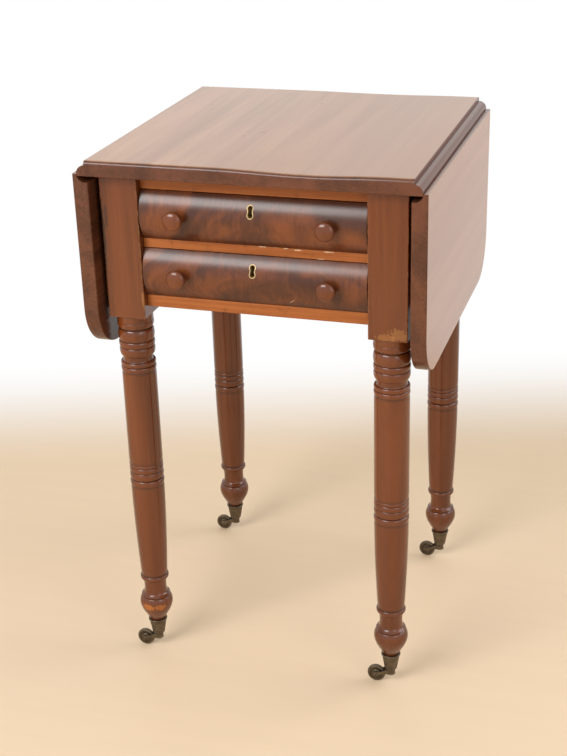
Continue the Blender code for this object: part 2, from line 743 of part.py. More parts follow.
# A leaf bracket in a notch of the side panel's upper edge, on an upright pin at its middle
def leaf_bracket(side, sign, side_board, board):
    centre = Vector((sign * SIDE_MIDDLE, 0, CARCASE_TOP - FIT - BRACKET_HEIGHT))
    half = SIDE_THICKNESS / 2
    turn = math.degrees(math.asin(half / BRACKET_REACH))
    far = arc(0, 0, BRACKET_REACH, 90 - turn, 90 + turn, BRACKET_END_STEPS)
    outline = far + [(-across, -up) for across, up in far]
    bracket = add_piece(
        f"leaf_bracket_{side}",
        plate_mesh(outline, "Z", 0, BRACKET_HEIGHT, (0, 0, 0)),
        centre,
        POPLAR,
    )
    low = -BRACKET_PIN_DEPTH
    high = BRACKET_HEIGHT + BRACKET_PIN_DEPTH
    pin = round_cutter(f"bracket_pin_{side}", BRACKET_PIN_RADIUS, low, high, "Z", centre)
    join(bracket, pin)
    hole = round_cutter(
        f"bracket_pin_hole_{side}",
        BRACKET_PIN_RADIUS + RUNNING_FIT,
        low - RUNNING_FIT,
        high + RUNNING_FIT,
        "Z",
        centre,
    )
    notch = round_cutter(
        f"bracket_notch_{side}",
        BRACKET_REACH + RUNNING_FIT,
        -FIT,
        BRACKET_HEIGHT + CUT_PAST,
        "Z",
        centre,
        BRACKET_NOTCH_SIDES,
    )
    cut(side_board, notch, hole)
    cut(board, hole)


# Drawer runner: a bearing strip from the front rail to the back, and a guide between the posts
def runner(level, side, sign, top, height):
    bottom = top - height
    inner = POST_IN_X - RUNNER_WIDTH
    strip = sorted((sign * inner, sign * (POST_IN_X - FIT)))
    piece = add_piece(
        f"{level}_runner_{side}",
        box_mesh(
            (strip[0], RAIL_BACK + FIT, bottom), (strip[1], BACK_IN - FIT, top), (0, 0, 0)
        ),
        (0, 0, 0),
        POPLAR,
    )
    wall = SIDE_IN - FIT
    outline = [
        (inner + FIT, bottom),
        (wall, bottom),
        (wall, top + GUIDE_HEIGHT),
        (POST_IN_X, top + GUIDE_HEIGHT),
        (POST_IN_X, top),
        (inner + FIT, top),
    ]
    reach = POST_IN_Y - FIT
    guide = plate_mesh(sided(outline, sign), "Y", -reach, reach, (0, 0, 0))
    join(piece, add_cutter(f"{level}_guide_{side}", guide, (0, 0, 0)))


# Dovetails: one edge of a drawer side, from low to high, with its tails standing out from root to tip.
# A socket's outline is larger all round and runs past both ends at the same slope.
def tail_edge(root, tip, low, high, grow=0, before=0, after=0):
    pitch = (high - low) / TAIL_COUNT
    outward = math.copysign(1, tip - root)
    flare = pitch * (TAIL_TIP_SHARE - TAIL_ROOT_SHARE) / 2 / abs(tip - root)
    narrow = pitch * TAIL_ROOT_SHARE / 2 + grow - flare * before
    wide = pitch * TAIL_TIP_SHARE / 2 + grow + flare * after
    start = root - outward * before
    end = tip + outward * after
    points = []
    for i in range(TAIL_COUNT):
        middle = low + pitch * (i + 0.5)
        points += [
            (start, middle - narrow),
            (end, middle - wide),
            (end, middle + wide),
            (start, middle + narrow),
        ]
    return points


def keyhole_outline(grow):
    radius = ESCUTCHEON_RADIUS + grow
    waist = ESCUTCHEON_WAIST + grow
    apart = ESCUTCHEON_LENGTH - 2 * ESCUTCHEON_RADIUS
    upper = arc(0, 0, radius, *KEYHOLE_HEAD_ARC, ARC_STEPS)
    lower = arc(0, -apart, radius, *KEYHOLE_FOOT_ARC, ARC_STEPS)
    return [*upper, (-waist, -apart / 2), *lower, (waist, -apart / 2)]


class Drawer:
    """One drawer, its knobs and its lock, carried by a pivot at the middle of its opening."""

    def __init__(self, level, opening):
        self.level = level
        self.bottom = opening + FIT
        self.top = self.bottom + FRONT_HEIGHT
        self.middle = self.bottom + FRONT_HEIGHT / 2
        self.side_top = self.bottom + SIDE_HEIGHT
        self.key = self.top - KEYHOLE_DROP + ESCUTCHEON_LENGTH / 2 - ESCUTCHEON_RADIUS
        self.pivot = add_pivot(f"{level}_drawer", (0, RAIL_FRONT, self.middle))
        self.panel = self.bottom_board()
        self.front = self.front_board()
        self.side_boards()
        self.back_board()
        self.lock()
        self.escutcheon()
        self.knobs()

    def piece(self, name, mesh, finish, origin=(0, 0, 0)):
        return add_piece(f"{self.level}_{name}", mesh, Vector(origin), finish, self.pivot)

    def cutter(self, name, mesh, origin=(0, 0, 0)):
        return add_cutter(f"{self.level}_{name}", mesh, origin)

    def face_outline(self, proud):
        angle = math.degrees(math.asin(FRONT_HEIGHT / 2 / FACE_RADIUS))
        centre = -POST_OUT_Y + FACE_RADIUS
        face = arc(centre, self.middle, FACE_RADIUS + proud, 180 + angle, 180 - angle, FRONT_STEPS)
        return [(FRONT_BACK, self.top), (FRONT_BACK, self.bottom), *face]

    def bottom_board(self):
        low = self.bottom + BOTTOM_RISE
        reach = DRAWER_INNER + GROOVE_DEPTH - FIT
        near = FRONT_BACK - GROOVE_DEPTH + FIT
        corners = (-reach, near, low), (reach, DRAWER_REAR, low + BOTTOM_BOARD)
        self.piece("drawer_bottom", box_mesh(*corners, (0, 0, 0)), POPLAR)
        far = Vector((0, CUT_PAST, 0))
        groove = box_mesh(Vector(corners[0]) - SNUG, Vector(corners[1]) + SNUG + far, (0, 0, 0))
        return self.cutter("drawer_groove", groove)

    def front_board(self):
        mesh = plate_mesh(self.face_outline(0), "X", -DRAWER_HALF, DRAWER_HALF, (0, 0, 0))
        front = self.piece("drawer_front", mesh, FLAME_VENEER)
        cut(front, self.panel)
        return front

    def sockets(self, name, sign, root, tip, after):
        edge = tail_edge(root, tip, self.bottom, self.side_top, FIT, CUT_PAST / 2, after)
        strip = root - math.copysign(CUT_PAST, tip - root)
        outline = [(strip, self.bottom), *edge, (strip, self.side_top)]
        reach = sorted((sign * (DRAWER_INNER - FIT), sign * (DRAWER_HALF + CUT_PAST)))
        return self.cutter(name, plate_mesh(outline, "X", *reach, (0, 0, 0)))

    def side_boards(self):
        tip = FRONT_BACK - TAIL_LENGTH
        root = DRAWER_REAR - BACK_BOARD
        front_edge = tail_edge(FRONT_BACK + FIT, tip, self.bottom, self.side_top)
        rear_edge = tail_edge(root - FIT, DRAWER_REAR, self.bottom, self.side_top)
        outline = [
            (FRONT_BACK + FIT, self.bottom),
            *front_edge,
            (FRONT_BACK + FIT, self.side_top),
            (root - FIT, self.side_top),
            *reversed(rear_edge),
            (root - FIT, self.bottom),
        ]
        for side, sign in SIDES:
            faces = sorted((sign * DRAWER_INNER, sign * DRAWER_HALF))
            mesh = plate_mesh(outline, "X", *faces, (0, 0, 0))
            board = self.piece(f"drawer_side_{side}", mesh, POPLAR)
            cut(board, self.panel)
            cut(self.front, self.sockets(f"front_sockets_{side}", sign, FRONT_BACK + FIT, tip, FIT))

    def back_board(self):
        low = self.bottom + BOTTOM_RISE + BOTTOM_BOARD + FIT
        near = DRAWER_REAR - BACK_BOARD
        corners = (-DRAWER_HALF, near, low), (DRAWER_HALF, DRAWER_REAR, self.side_top - BACK_DROP)
        board = self.piece("drawer_back", box_mesh(*corners, (0, 0, 0)), POPLAR)
        for side, sign in SIDES:
            cut(board, self.sockets(f"back_sockets_{side}", sign, near - FIT, DRAWER_REAR, CUT_PAST))

    def lock(self):
        top = self.top - LOCK_TOP_GAP
        near = FRONT_BACK - LOCK_THICKNESS
        case_low = (-LOCK_WIDTH / 2, near, top - LOCK_HEIGHT)
        case_high = (LOCK_WIDTH / 2, FRONT_BACK, top)
        edge_low = (-SELVEDGE_WIDTH / 2, near, top - SELVEDGE_THICKNESS)
        edge_high = (SELVEDGE_WIDTH / 2, FRONT_BACK, top)
        case = self.piece("lock_case", box_mesh(case_low, case_high, (0, 0, 0)), BRASS)
        join(case, self.cutter("lock_selvedge", box_mesh(edge_low, edge_high, (0, 0, 0))))
        open_top = Vector((FIT, CUT_PAST, CUT_PAST))
        recesses = {
            "lock_recess": (case_low, case_high),
            "selvedge_recess": (edge_low, edge_high),
        }
        for name, (low, high) in recesses.items():
            recess = box_mesh(Vector(low) - SNUG, Vector(high) + open_top, (0, 0, 0))
            cut(self.front, self.cutter(name, recess))

        # The bolt slides up out of the case into the rail above
        half = BOLT_WIDTH / 2
        y = near + LOCK_THICKNESS / 2
        thick = BOLT_THICKNESS / 2
        bolt_low = Vector((-half, y - thick, top - BOLT_HEIGHT))
        bolt_high = Vector((half, y + thick, top))
        self.piece("lock_bolt", box_mesh(bolt_low, bolt_high, (0, 0, 0)), BRASS)
        slot = box_mesh(bolt_low - SNUG, bolt_high + Vector((FIT, FIT, CUT_PAST)), (0, 0, 0))
        cut(case, self.cutter("bolt_slot", slot))
        self.case = case
        loose = Vector((BOLT_MORTISE_GAP, BOLT_MORTISE_GAP, BOLT_MORTISE_GAP))
        raised = Vector((0, 0, BOLT_TRAVEL))
        mortise = box_mesh(bolt_low - loose, bolt_high + loose + raised, (0, 0, 0))
        self.mortise = self.cutter("bolt_mortise", mortise)

    def escutcheon(self):
        face = -POST_OUT_Y + FACE_RADIUS - math.sqrt(FACE_RADIUS ** 2 - (self.key - self.middle) ** 2)
        back = face + ESCUTCHEON_DEPTH
        ahead = -POST_OUT_Y - CUT_PAST
        ring = self.piece(
            "escutcheon",
            plate_mesh(moved(keyhole_outline(0), 0, self.key), "Y", ahead, back, (0, 0, 0)),
            BRASS,
        )
        opening = moved(keyhole_outline(-ESCUTCHEON_WALL), 0, self.key)
        deep = FRONT_BACK - LOCK_THICKNESS + LOCK_KEY_POCKET
        hole = self.cutter("keyhole", plate_mesh(opening, "Y", ahead - CUT_PAST, deep, (0, 0, 0)))
        shell = plate_mesh(self.face_outline(ESCUTCHEON_PROUD), "X", -LOCK_WIDTH, LOCK_WIDTH, (0, 0, 0))
        combine(ring, self.cutter("face_shell", shell), "INTERSECT")
        cut(ring, hole)
        seat = plate_mesh(moved(keyhole_outline(FIT), 0, self.key), "Y", ahead, back + FIT, (0, 0, 0))
        cut(self.front, hole, self.cutter("escutcheon_seat", seat))
        cut(self.case, hole)

    def knobs(self):
        # Heights run outwards from the crest of the drawer face
        rim = KNOB_PROJECTION - KNOB_FACE_CROWN
        under = rim - KNOB_RIM
        inside = -(POST_OUT_Y + FRONT_BACK)
        angles = [math.pi / 2 * i / KNOB_CROWN_STEPS for i in range(1, KNOB_CROWN_STEPS)]
        crown = [(KNOB_RADIUS * math.sin(a), rim + KNOB_FACE_CROWN * math.cos(a)) for a in angles]
        profile = [
            (0, KNOB_PROJECTION),
            *crown,
            (KNOB_RADIUS, rim),
            (KNOB_RADIUS - KNOB_UNDERCUT, under),
            (KNOB_WAIST_RADIUS, under - KNOB_RIM),
            (KNOB_WAIST_RADIUS, KNOB_SEAT_LENGTH),
            (KNOB_SEAT_RADIUS, FIT),
            (KNOB_TENON_RADIUS, FIT),
            (KNOB_TENON_RADIUS, inside),
            (0, inside),
        ]
        for side, sign in SIDES:
            place = Vector((sign * KNOB_SPACING / 2, -POST_OUT_Y, self.middle))
            knob = self.piece(f"knob_{side}", profile_mesh(profile), MAHOGANY, place)
            knob.rotation_euler.x = math.pi / 2
            spin(knob, KNOB_SIDES)
            bore = KNOB_TENON_RADIUS + RUNNING_FIT
            reach = CUT_PAST + FRONT_BACK + POST_OUT_Y
            hole = round_cutter(f"{self.level}_knob_hole_{side}", bore, -CUT_PAST, reach, "Y", place)
            cut(self.front, hole)


# Casters
def socket_profile():
    rim = SOCKET_TOP - SOCKET_RIM_LENGTH
    lip = SOCKET_TOP_RADIUS + SOCKET_RIM
    bore = SWIVEL_RADIUS + RUNNING_FIT
    return [
        (lip, SOCKET_TOP),
        (lip, rim),
        (socket_radius(rim), rim - SOCKET_RIM),
        (SOCKET_BOTTOM_RADIUS, SOCKET_BOTTOM),
        (bore, SOCKET_BOTTOM),
        (bore, SOCKET_FLOOR_Z),
        (socket_radius(SOCKET_FLOOR_Z) - SOCKET_WALL, SOCKET_FLOOR_Z),
        (SOCKET_TOP_RADIUS - SOCKET_WALL, SOCKET_TOP),
    ]


def horn_profile():
    top = SOCKET_BOTTOM - FIT
    return [
        (0, SWIVEL_TOP),
        (SWIVEL_HEAD_RADIUS, SWIVEL_TOP),
        (SWIVEL_HEAD_RADIUS, SOCKET_FLOOR_Z + FIT),
        (SWIVEL_RADIUS, SOCKET_FLOOR_Z + FIT),
        (SWIVEL_RADIUS, top),
        (HORN_BOSS_RADIUS, top),
        (HORN_BOSS_RADIUS, HORN_BOTTOM),
        (0, HORN_BOTTOM),
    ]


def cheek_outline():
    top = SOCKET_BOTTOM - FIT - HORN_SHOULDER / 2
    shoulder = -HORN_BOSS_RADIUS - FIT
    end = arc(-CASTER_TRAIL, WHEEL_RADIUS, HORN_END_RADIUS, HORN_END_START, 270, SMALL_ARC_STEPS)
    return [(0, HORN_BOTTOM + FIT), (0, top), (shoulder, top - HORN_SHOULDER), *end]


def wheel_profile():
    half = WHEEL_WIDTH / 2
    bore = AXLE_RADIUS + RUNNING_FIT
    shoulder = WHEEL_RADIUS - WHEEL_TREAD_DROP
    upper = [
        (bore, half),
        (WHEEL_HUB_RADIUS, half),
        (WHEEL_HUB_RADIUS + WHEEL_DISH, half - WHEEL_DISH),
        (shoulder, half - WHEEL_DISH),
        (WHEEL_RADIUS, WHEEL_TREAD / 2),
    ]
    return upper + [(radius, -height) for radius, height in reversed(upper)]


def caster(end, side, x_sign, y_sign, shapes):
    origin = Vector((x_sign * LEG_X, y_sign * LEG_Y, 0))
    name = f"{end}_{side}"
    socket = add_piece(f"caster_socket_{name}", shapes["socket"], origin, DARK_BRASS)
    spin(socket, SOCKET_SIDES)
    swivel = add_pivot(f"caster_swivel_{name}", origin)
    add_piece(f"caster_horn_{name}", shapes["horn"], origin, DARK_BRASS, swivel)
    axle = origin + Vector((-CASTER_TRAIL, 0, WHEEL_RADIUS))
    wheel = add_piece(f"caster_wheel_{name}", shapes["wheel"], axle, DARK_BRASS, swivel)
    wheel.rotation_euler.x = math.pi / 2
    spin(wheel, WHEEL_SIDES)


def horn_mesh():
    body = add_cutter("horn_boss", profile_mesh(horn_profile()), (0, 0, 0))
    spin(body, SOCKET_SIDES)
    inner = WHEEL_WIDTH / 2 + FIT
    outer = inner + HORN_CHEEK
    for sign in (-1, 1):
        faces = sorted((sign * inner, sign * outer))
        cheek = plate_mesh(cheek_outline(), "Y", *faces, (0, 0, 0))
        join(body, add_cutter("horn_cheek", cheek, (0, 0, 0)))
        faces = sorted((sign * (outer - FIT), sign * (outer + RIVET_HEAD)))
        rivet = round_cutter(
            "axle_rivet", RIVET_RADIUS, *faces, "Y", (-CASTER_TRAIL, 0, WHEEL_RADIUS)
        )
        join(body, rivet)
    axle = round_cutter(
        "axle", AXLE_RADIUS, -inner - FIT, inner + FIT, "Y", (-CASTER_TRAIL, 0, WHEEL_RADIUS)
    )
    join(body, axle)
    bpy.context.view_layer.update()
    shown = body.evaluated_get(bpy.context.evaluated_depsgraph_get())
    return bpy.data.meshes.new_from_object(shown)


# Assembly
def build():
    board = top_board()
    for side, sign in SIDES:
        leaf_board, pivot = leaf(side, sign)
        for end, end_sign in ENDS:
            y = end_sign * (TOP_DEPTH / 2 - HINGE_INSET)
            hinge(side, sign, end, y, board, leaf_board, pivot)

    top_front, top_mortise = top_rail()
    divider, divider_mortise = front_rail("drawer_divider_rail", LOWER_TOP, DIVIDER_HEIGHT)
    bottom_mortise = front_rail("front_bottom_rail", CARCASE_BOTTOM, BOTTOM_RAIL_HEIGHT)[1]
    back_mortise = panel(
        "back_panel",
        (FIT - POST_IN_X, BACK_IN, CARCASE_BOTTOM),
        (POST_IN_X - FIT, BACK_OUT, CARCASE_TOP),
        0,
        POPLAR,
    )[1]
    front_mortises = [top_mortise, divider_mortise, bottom_mortise]
    shapes = {
        "socket": profile_mesh(socket_profile(), closed=True),
        "horn": horn_mesh(),
        "wheel": profile_mesh(wheel_profile(), closed=True),
    }
    for side, sign in SIDES:
        inner, outer = sorted((sign * SIDE_IN, sign * SIDE_OUT))
        side_board, side_mortise = panel(
            f"side_panel_{side}",
            (inner, FIT - POST_IN_Y, CARCASE_BOTTOM),
            (outer, POST_IN_Y - FIT, CARCASE_TOP),
            1,
            MAHOGANY,
        )
        leaf_bracket(side, sign, side_board, board)
        leg("front", side, sign, -1, [*front_mortises, side_mortise])
        leg("rear", side, sign, 1, [back_mortise, side_mortise])
        for end, end_sign in ENDS:
            caster(end, side, sign, end_sign, shapes)
        runner("upper", side, sign, UPPER_BOTTOM, DIVIDER_HEIGHT)
        runner("lower", side, sign, LOWER_BOTTOM, BOTTOM_RAIL_HEIGHT)

    rails_above = {"upper": top_front, "lower": divider}
    for level, opening in LEVELS:
        drawer = Drawer(level, opening)
        cut(rails_above[level], drawer.mortise)


build()
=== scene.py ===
"""Sewing stand: fine pieces, finishes, floor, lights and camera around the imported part.

Laid out as an add-on and run as a script. Metres, +Z up, the drawers face -Y.
"""

import json
import math

import bmesh
import bpy
from bpy.props import FloatProperty, FloatVectorProperty, IntProperty, PointerProperty
from mathutils import Matrix, Vector


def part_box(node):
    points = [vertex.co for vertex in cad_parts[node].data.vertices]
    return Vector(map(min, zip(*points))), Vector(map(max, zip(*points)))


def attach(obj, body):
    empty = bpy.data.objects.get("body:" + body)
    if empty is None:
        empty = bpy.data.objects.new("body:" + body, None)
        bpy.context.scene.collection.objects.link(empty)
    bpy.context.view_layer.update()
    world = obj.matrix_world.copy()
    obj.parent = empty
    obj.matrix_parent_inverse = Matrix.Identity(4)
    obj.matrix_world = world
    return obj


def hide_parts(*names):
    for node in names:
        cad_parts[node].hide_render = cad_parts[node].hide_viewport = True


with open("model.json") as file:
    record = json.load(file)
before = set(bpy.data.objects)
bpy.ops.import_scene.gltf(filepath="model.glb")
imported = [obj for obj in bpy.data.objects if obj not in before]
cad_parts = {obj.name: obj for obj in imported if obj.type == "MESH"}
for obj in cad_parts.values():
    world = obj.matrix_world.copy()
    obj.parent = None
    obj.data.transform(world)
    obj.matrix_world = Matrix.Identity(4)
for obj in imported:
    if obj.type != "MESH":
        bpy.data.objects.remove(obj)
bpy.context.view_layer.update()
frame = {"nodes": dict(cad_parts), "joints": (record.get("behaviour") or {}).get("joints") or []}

bl_info = {
    "name": "Sewing Stand",
    "version": (1, 0, 0),
    "blender": (4, 5, 0),
    "location": "View3D > Sidebar > Stand",
    "description": "Fine pieces, finishes and a studio for a drop-leaf sewing stand",
    "category": "Object",
}

SIDES = (("left", -1), ("right", 1))
ENDS = ("front", "rear")
LEVELS = ("upper", "lower")
CORNERS = tuple(f"{end}_{side}" for end in ENDS for side, _ in SIDES)
JOINTS = {joint["name"]: joint for joint in frame["joints"]}

# Places that come from the frame
TOP_LOW, TOP_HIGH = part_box("top_board")
LEAF_LOW, LEAF_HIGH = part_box("leaf_right")
POST_LOW, POST_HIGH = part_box("leg_front_right")
FRONT_LOW, FRONT_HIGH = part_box("upper_drawer_front")
RAIL_LOW, RAIL_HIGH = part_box("drawer_divider_rail")
SOCKET_LOW, SOCKET_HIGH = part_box("caster_socket_front_right")
WHEEL_LOW, WHEEL_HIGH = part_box("caster_wheel_front_right")
HORN_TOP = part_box("caster_horn_front_right")[1].z
KNOB_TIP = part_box("upper_knob_right")[0].y
PANEL_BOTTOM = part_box("side_panel_right")[0].z
PIN = Vector(JOINTS["right_leaf_hinge"]["pos_m"])
PIN_RISE = PIN.z - TOP_LOW.z
JOINT_RADIUS = TOP_HIGH.x - PIN.x
HALF_DEPTH = TOP_HIGH.y
POST_HALF = (POST_HIGH.x - POST_LOW.x) / 2
FACE_RISE = RAIL_LOW.y - FRONT_LOW.y
FRONT_HALF_HEIGHT = (FRONT_HIGH.z - FRONT_LOW.z) / 2
FACE_RADIUS = (FRONT_HALF_HEIGHT ** 2 + FACE_RISE ** 2) / (2 * FACE_RISE)
SOCKET_LENGTH = SOCKET_HIGH.z - SOCKET_LOW.z
WHEEL_HALF = (WHEEL_HIGH.y - WHEEL_LOW.y) / 2
WHEEL_RADIUS = (WHEEL_HIGH.z - WHEEL_LOW.z) / 2

# Clearances and thicknesses that the frame's boxes don't show
FIT = 0.0003  # room round a piece that is let in
PAST = 0.004  # how far a cutter reaches past what it cuts
SAME_POINT = 1e-6  # points this close are one
JOINT_CLEARANCE = 0.0005
LIP_GAP = 0.0005
HINGE_THICKNESS = 0.0016
BARREL_GROOVE = 0.0031
BRACKET_PIN_HOLE = 0.0036
SWIVEL_RADIUS = 0.0026
SWIVEL_BORE = 0.0031
SOCKET_TOP_RADIUS = 0.0126
SOCKET_BOTTOM_RADIUS = 0.0085
SOCKET_WALL = 0.0014
SOCKET_FLOOR = 0.0065
AXLE_RADIUS = 0.0016
AXLE_BORE = 0.0021

# Fineness
ARC_STEPS = 24
FACE_STEPS = 48
BEAD_STEPS = 14
SHAFT_STEPS = 30
ROLL_STEPS = 8
EDGE_SLICES = 64
SMALL_SIDES = 64
BOSS_SIDES = 48
SCREW_SIDES = 24
SMOOTH_BELOW = 38  # degrees between faces that shade as one


# Sizes and colours that a user would change
def length(name, description, default, low=0.0, high=1.0):
    return FloatProperty(
        name=name, description=description, default=default,
        min=low, max=high, unit="LENGTH", precision=4,
    )


def colour(name, description, default):
    return FloatVectorProperty(
        name=name, description=description, default=default,
        size=3, min=0, max=1, subtype="COLOR",
    )


class StandSizes(bpy.types.PropertyGroup):
    """Sizes of the worked details."""

    sides: IntProperty(
        name="Turning sides", description="Sides of each leg's turning",
        default=96, min=24, max=160,
    )
    top_round: length("Top edge", "Radius of the front and rear edges of the top", 0.005)
    top_wave: length("Top wave", "How far the top has sunk across its width with age", 0.0026)
    leaf_corner: length("Leaf corner", "Radius of the lower corners of the leaves", 0.060)
    leaf_arris: length("Leaf arris", "Radius of the rounded edges of the leaves", 0.0018)
    post_arris: length("Post arris", "Radius of the worn edges of the square posts", 0.0012)
    board_arris: length("Board arris", "Softened edges of the rails and boards", 0.0005)
    neck_radius: length("Neck radius", "Plain turned neck under each post", 0.0237)
    shaft_radius: length("Shaft radius", "Upper shaft of each leg", 0.0228)
    ankle_radius: length("Ankle radius", "Lower end of each leg above the foot", 0.0181)
    vase_radius: length("Vase radius", "Widest part of each foot", 0.0231)
    knob_radius: length("Knob radius", "Rim of the drawer knobs", 0.0124)
    knob_crown: length("Knob crown", "Rise of the domed face of the knobs", 0.0062)
    ring_wall: length("Keyhole ring", "Width of the brass round each keyhole", 0.0011)
    screw_radius: length("Screw radius", "Heads of the hinge and lock screws", 0.0024)
    screw_proud: length("Screw proud", "How far the screw heads stand proud", 0.00015)


class StandColours(bpy.types.PropertyGroup):
    """Colours of the finishes, as linear light."""

    mahogany_light: colour("Mahogany light", "Pale grain of the legs", (0.187, 0.048, 0.012))
    mahogany_dark: colour("Mahogany dark", "Dark grain of the legs", (0.114, 0.029, 0.0073))
    # The pale face colours of the top are partly real fading and partly painted sheen
    top_light: colour("Top light", "Pale grain of the faded top", (0.515, 0.276, 0.149))
    top_dark: colour("Top dark", "Dark grain of the faded top", (0.345, 0.172, 0.091))
    edge: colour("Edge", "Edges of the top and leaves", (0.112, 0.037, 0.017))
    flame_light: colour("Flame light", "Bright figure of the fronts", (0.208, 0.057, 0.0155))
    flame_dark: colour("Flame dark", "Dark figure of the fronts", (0.066, 0.020, 0.009))
    rail_light: colour("Rail light", "Pale grain of the front rails", (0.400, 0.128, 0.036))
    rail_dark: colour("Rail dark", "Dark grain of the front rails", (0.250, 0.070, 0.018))
    poplar_light: colour("Poplar light", "Pale grain of the boards", (0.50, 0.312, 0.153))
    poplar_dark: colour("Poplar dark", "Dark grain of the boards", (0.30, 0.170, 0.077))
    raw_wood: colour("Bare wood", "Worn and chipped places", (0.52, 0.26, 0.09))
    brass: colour("Brass", "Keyhole rings and locks", (0.93, 0.72, 0.37))
    bronze: colour("Bronze", "Darkened brass of the casters", (0.180, 0.140, 0.095))
    iron: colour("Iron", "Hinge flaps and screws", (0.13, 0.115, 0.10))
    floor: colour("Floor", "Floor under the stand", (0.86, 0.665, 0.455))


def sizes():
    return bpy.context.scene.stand_sizes


def colours():
    return bpy.context.scene.stand_colours


# Numbers and outlines
def shares(steps, first=0):
    return [i / steps for i in range(first, steps + 1)]


def part_way(start, end, share):
    return start + (end - start) * share


def step_between(value, low, high):
    share = min(max((value - low) / (high - low), 0), 1)
    return share * share * (3 - 2 * share)


def arc(across, up, radius, start, end, steps):
    angles = [math.radians(part_way(start, end, share)) for share in shares(steps)]
    return [(across + radius * math.cos(a), up + radius * math.sin(a)) for a in angles]


def flipped(outline):
    return [(-across, up) for across, up in reversed(outline)]


def middle_of(node):
    low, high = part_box(node)
    return (low + high) / 2


# Meshes
def link(name, data):
    made = bpy.data.objects.new(name, data)
    bpy.context.scene.collection.objects.link(made)
    return made


def from_bmesh(name, bm):
    mesh = bpy.data.meshes.new(name)
    bm.to_mesh(mesh)
    bm.free()
    return link(name, mesh)


def settle(piece):
    """Turns the piece's modifiers into a plain mesh."""
    bpy.context.view_layer.update()
    shown = piece.evaluated_get(bpy.context.evaluated_depsgraph_get())
    mesh = bpy.data.meshes.new_from_object(shown)
    old = piece.data
    piece.modifiers.clear()
    piece.data = mesh
    bpy.data.meshes.remove(old)
    return piece


def bridge(bm, loops):
    """Quads from each loop of points to the next."""
    count = len(loops[0])
    for near, far in zip(loops, loops[1:]):
        for i in range(count):
            j = (i + 1) % count
            bm.faces.new((near[i], near[j], far[j], far[i]))


def in_space(axis, point, at):
    across, up = point
    return {"X": (at, across, up), "Y": (across, at, up), "Z": (across, up, at)}[axis]


def plate(name, outline, axis, start, end, slices=1):
    """A solid with this outline in the plane across an axis, from start to end along it."""
    bm = bmesh.new()
    loops = []
    for share in shares(slices):
        at = part_way(start, end, share)
        loops.append([bm.verts.new(in_space(axis, point, at)) for point in outline])
    bridge(bm, loops)
    bm.faces.new(loops[0])
    bm.faces.new(loops[-1])
    bmesh.ops.recalc_face_normals(bm, faces=bm.faces)
    return from_bmesh(name, bm)


def block(name, low, high):
    outline = [(low[0], low[1]), (high[0], low[1]), (high[0], high[1]), (low[0], high[1])]
    return plate(name, outline, "Z", low[2], high[2])


def node_copy(node):
    """The node's mesh with its loose triangles merged, as a new object."""
    flat_within = math.radians(0.5)
    bm = bmesh.new()
    bm.from_mesh(frame["nodes"][node].data)
    bmesh.ops.remove_doubles(bm, verts=bm.verts, dist=SAME_POINT)
    bmesh.ops.dissolve_limit(bm, angle_limit=flat_within, verts=bm.verts, edges=bm.edges)
    copy = from_bmesh(f"worked_{node}", bm)
    if "custom_normal" in copy.data.attributes:
        copy.data.attributes.remove(copy.data.attributes["custom_normal"])
    return copy


def combine(piece, cutters, operation="DIFFERENCE"):
    for cutter in cutters:
        step = piece.modifiers.new("combine", "BOOLEAN")
        step.operation = operation
        step.solver = "EXACT"
        step.object = cutter
    settle(piece)
    for cutter in cutters:
        bpy.data.objects.remove(cutter)
    return piece


def round_edges(piece, width, segments=3, sharper_than=40):
    step = piece.modifiers.new("arris", "BEVEL")
    step.width = width
    step.segments = segments
    step.limit_method = "ANGLE"
    step.angle_limit = math.radians(sharper_than)
    return settle(piece)


def joined(name, pieces):
    """One object from several closed shells."""
    bm = bmesh.new()
    for piece in pieces:
        bm.from_mesh(piece.data)
        bpy.data.objects.remove(piece)
    return from_bmesh(name, bm)


def even_normals(piece, angle=SMOOTH_BELOW):
    """Smooth shading over gentle edges, with the flats kept flat."""
    mesh = piece.data
    mesh.polygons.foreach_set("use_smooth", [True] * len(mesh.polygons))
    mesh.set_sharp_from_angle(angle=math.radians(angle))
    step = piece.modifiers.new("flats", "WEIGHTED_NORMAL")
    step.keep_sharp = True
    return settle(piece)


def paint(piece, name, value_at):
    """Stores a number at each vertex for the finish to read."""
    layer = piece.data.attributes.new(name, "FLOAT", "POINT")
    layer.data.foreach_set("value", [value_at(vertex) for vertex in piece.data.vertices])


def worn_edge(vertex):
    """1 where a vertex faces between the axes, as on an edge or a corner, and 0 on a flat."""
    return 1 - step_between(max(abs(n) for n in vertex.normal), 0.80, 0.985)


def dress(piece, finish, body, slot, *nodes):
    """Gives a finished piece its material and its body, and hides the nodes it stands for. The slot
    is not used.
    """
    piece.data.materials.clear()
    piece.data.materials.append(finish)
    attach(piece, body)
    if nodes:
        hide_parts(*nodes)
    return piece


def set_turning(piece, place, finish, body, slot, node):
    """Shades a piece that was made round the origin, moves its mesh into place and dresses it."""
    even_normals(piece)
    piece.data.transform(place)
    return dress(piece, finish, body, slot, node)


# Geometry Nodes
def tree_with(name, inputs):
    tree = bpy.data.node_groups.new(name, "GeometryNodeTree")
    tree.is_modifier = True
    for label, kind, default in inputs:
        made = tree.interface.new_socket(label, in_out="INPUT", socket_type=f"NodeSocket{kind}")
        if default is not None:
            made.default_value = default
    tree.interface.new_socket("Geometry", in_out="OUTPUT", socket_type="NodeSocketGeometry")
    return tree


def tree_node(tree, kind, inputs=(), **settings):
    node = tree.nodes.new(kind)
    for key, value in settings.items():
        setattr(node, key, value)
    for name, value in dict(inputs).items():
        if isinstance(value, bpy.types.NodeSocket):
            tree.links.new(value, node.inputs[name])
        else:
            node.inputs[name].default_value = value
    return node


def tree_math(tree, operation, first, second):
    values = {0: first, 1: second}
    return tree_node(tree, "ShaderNodeMath", values, operation=operation).outputs[0]


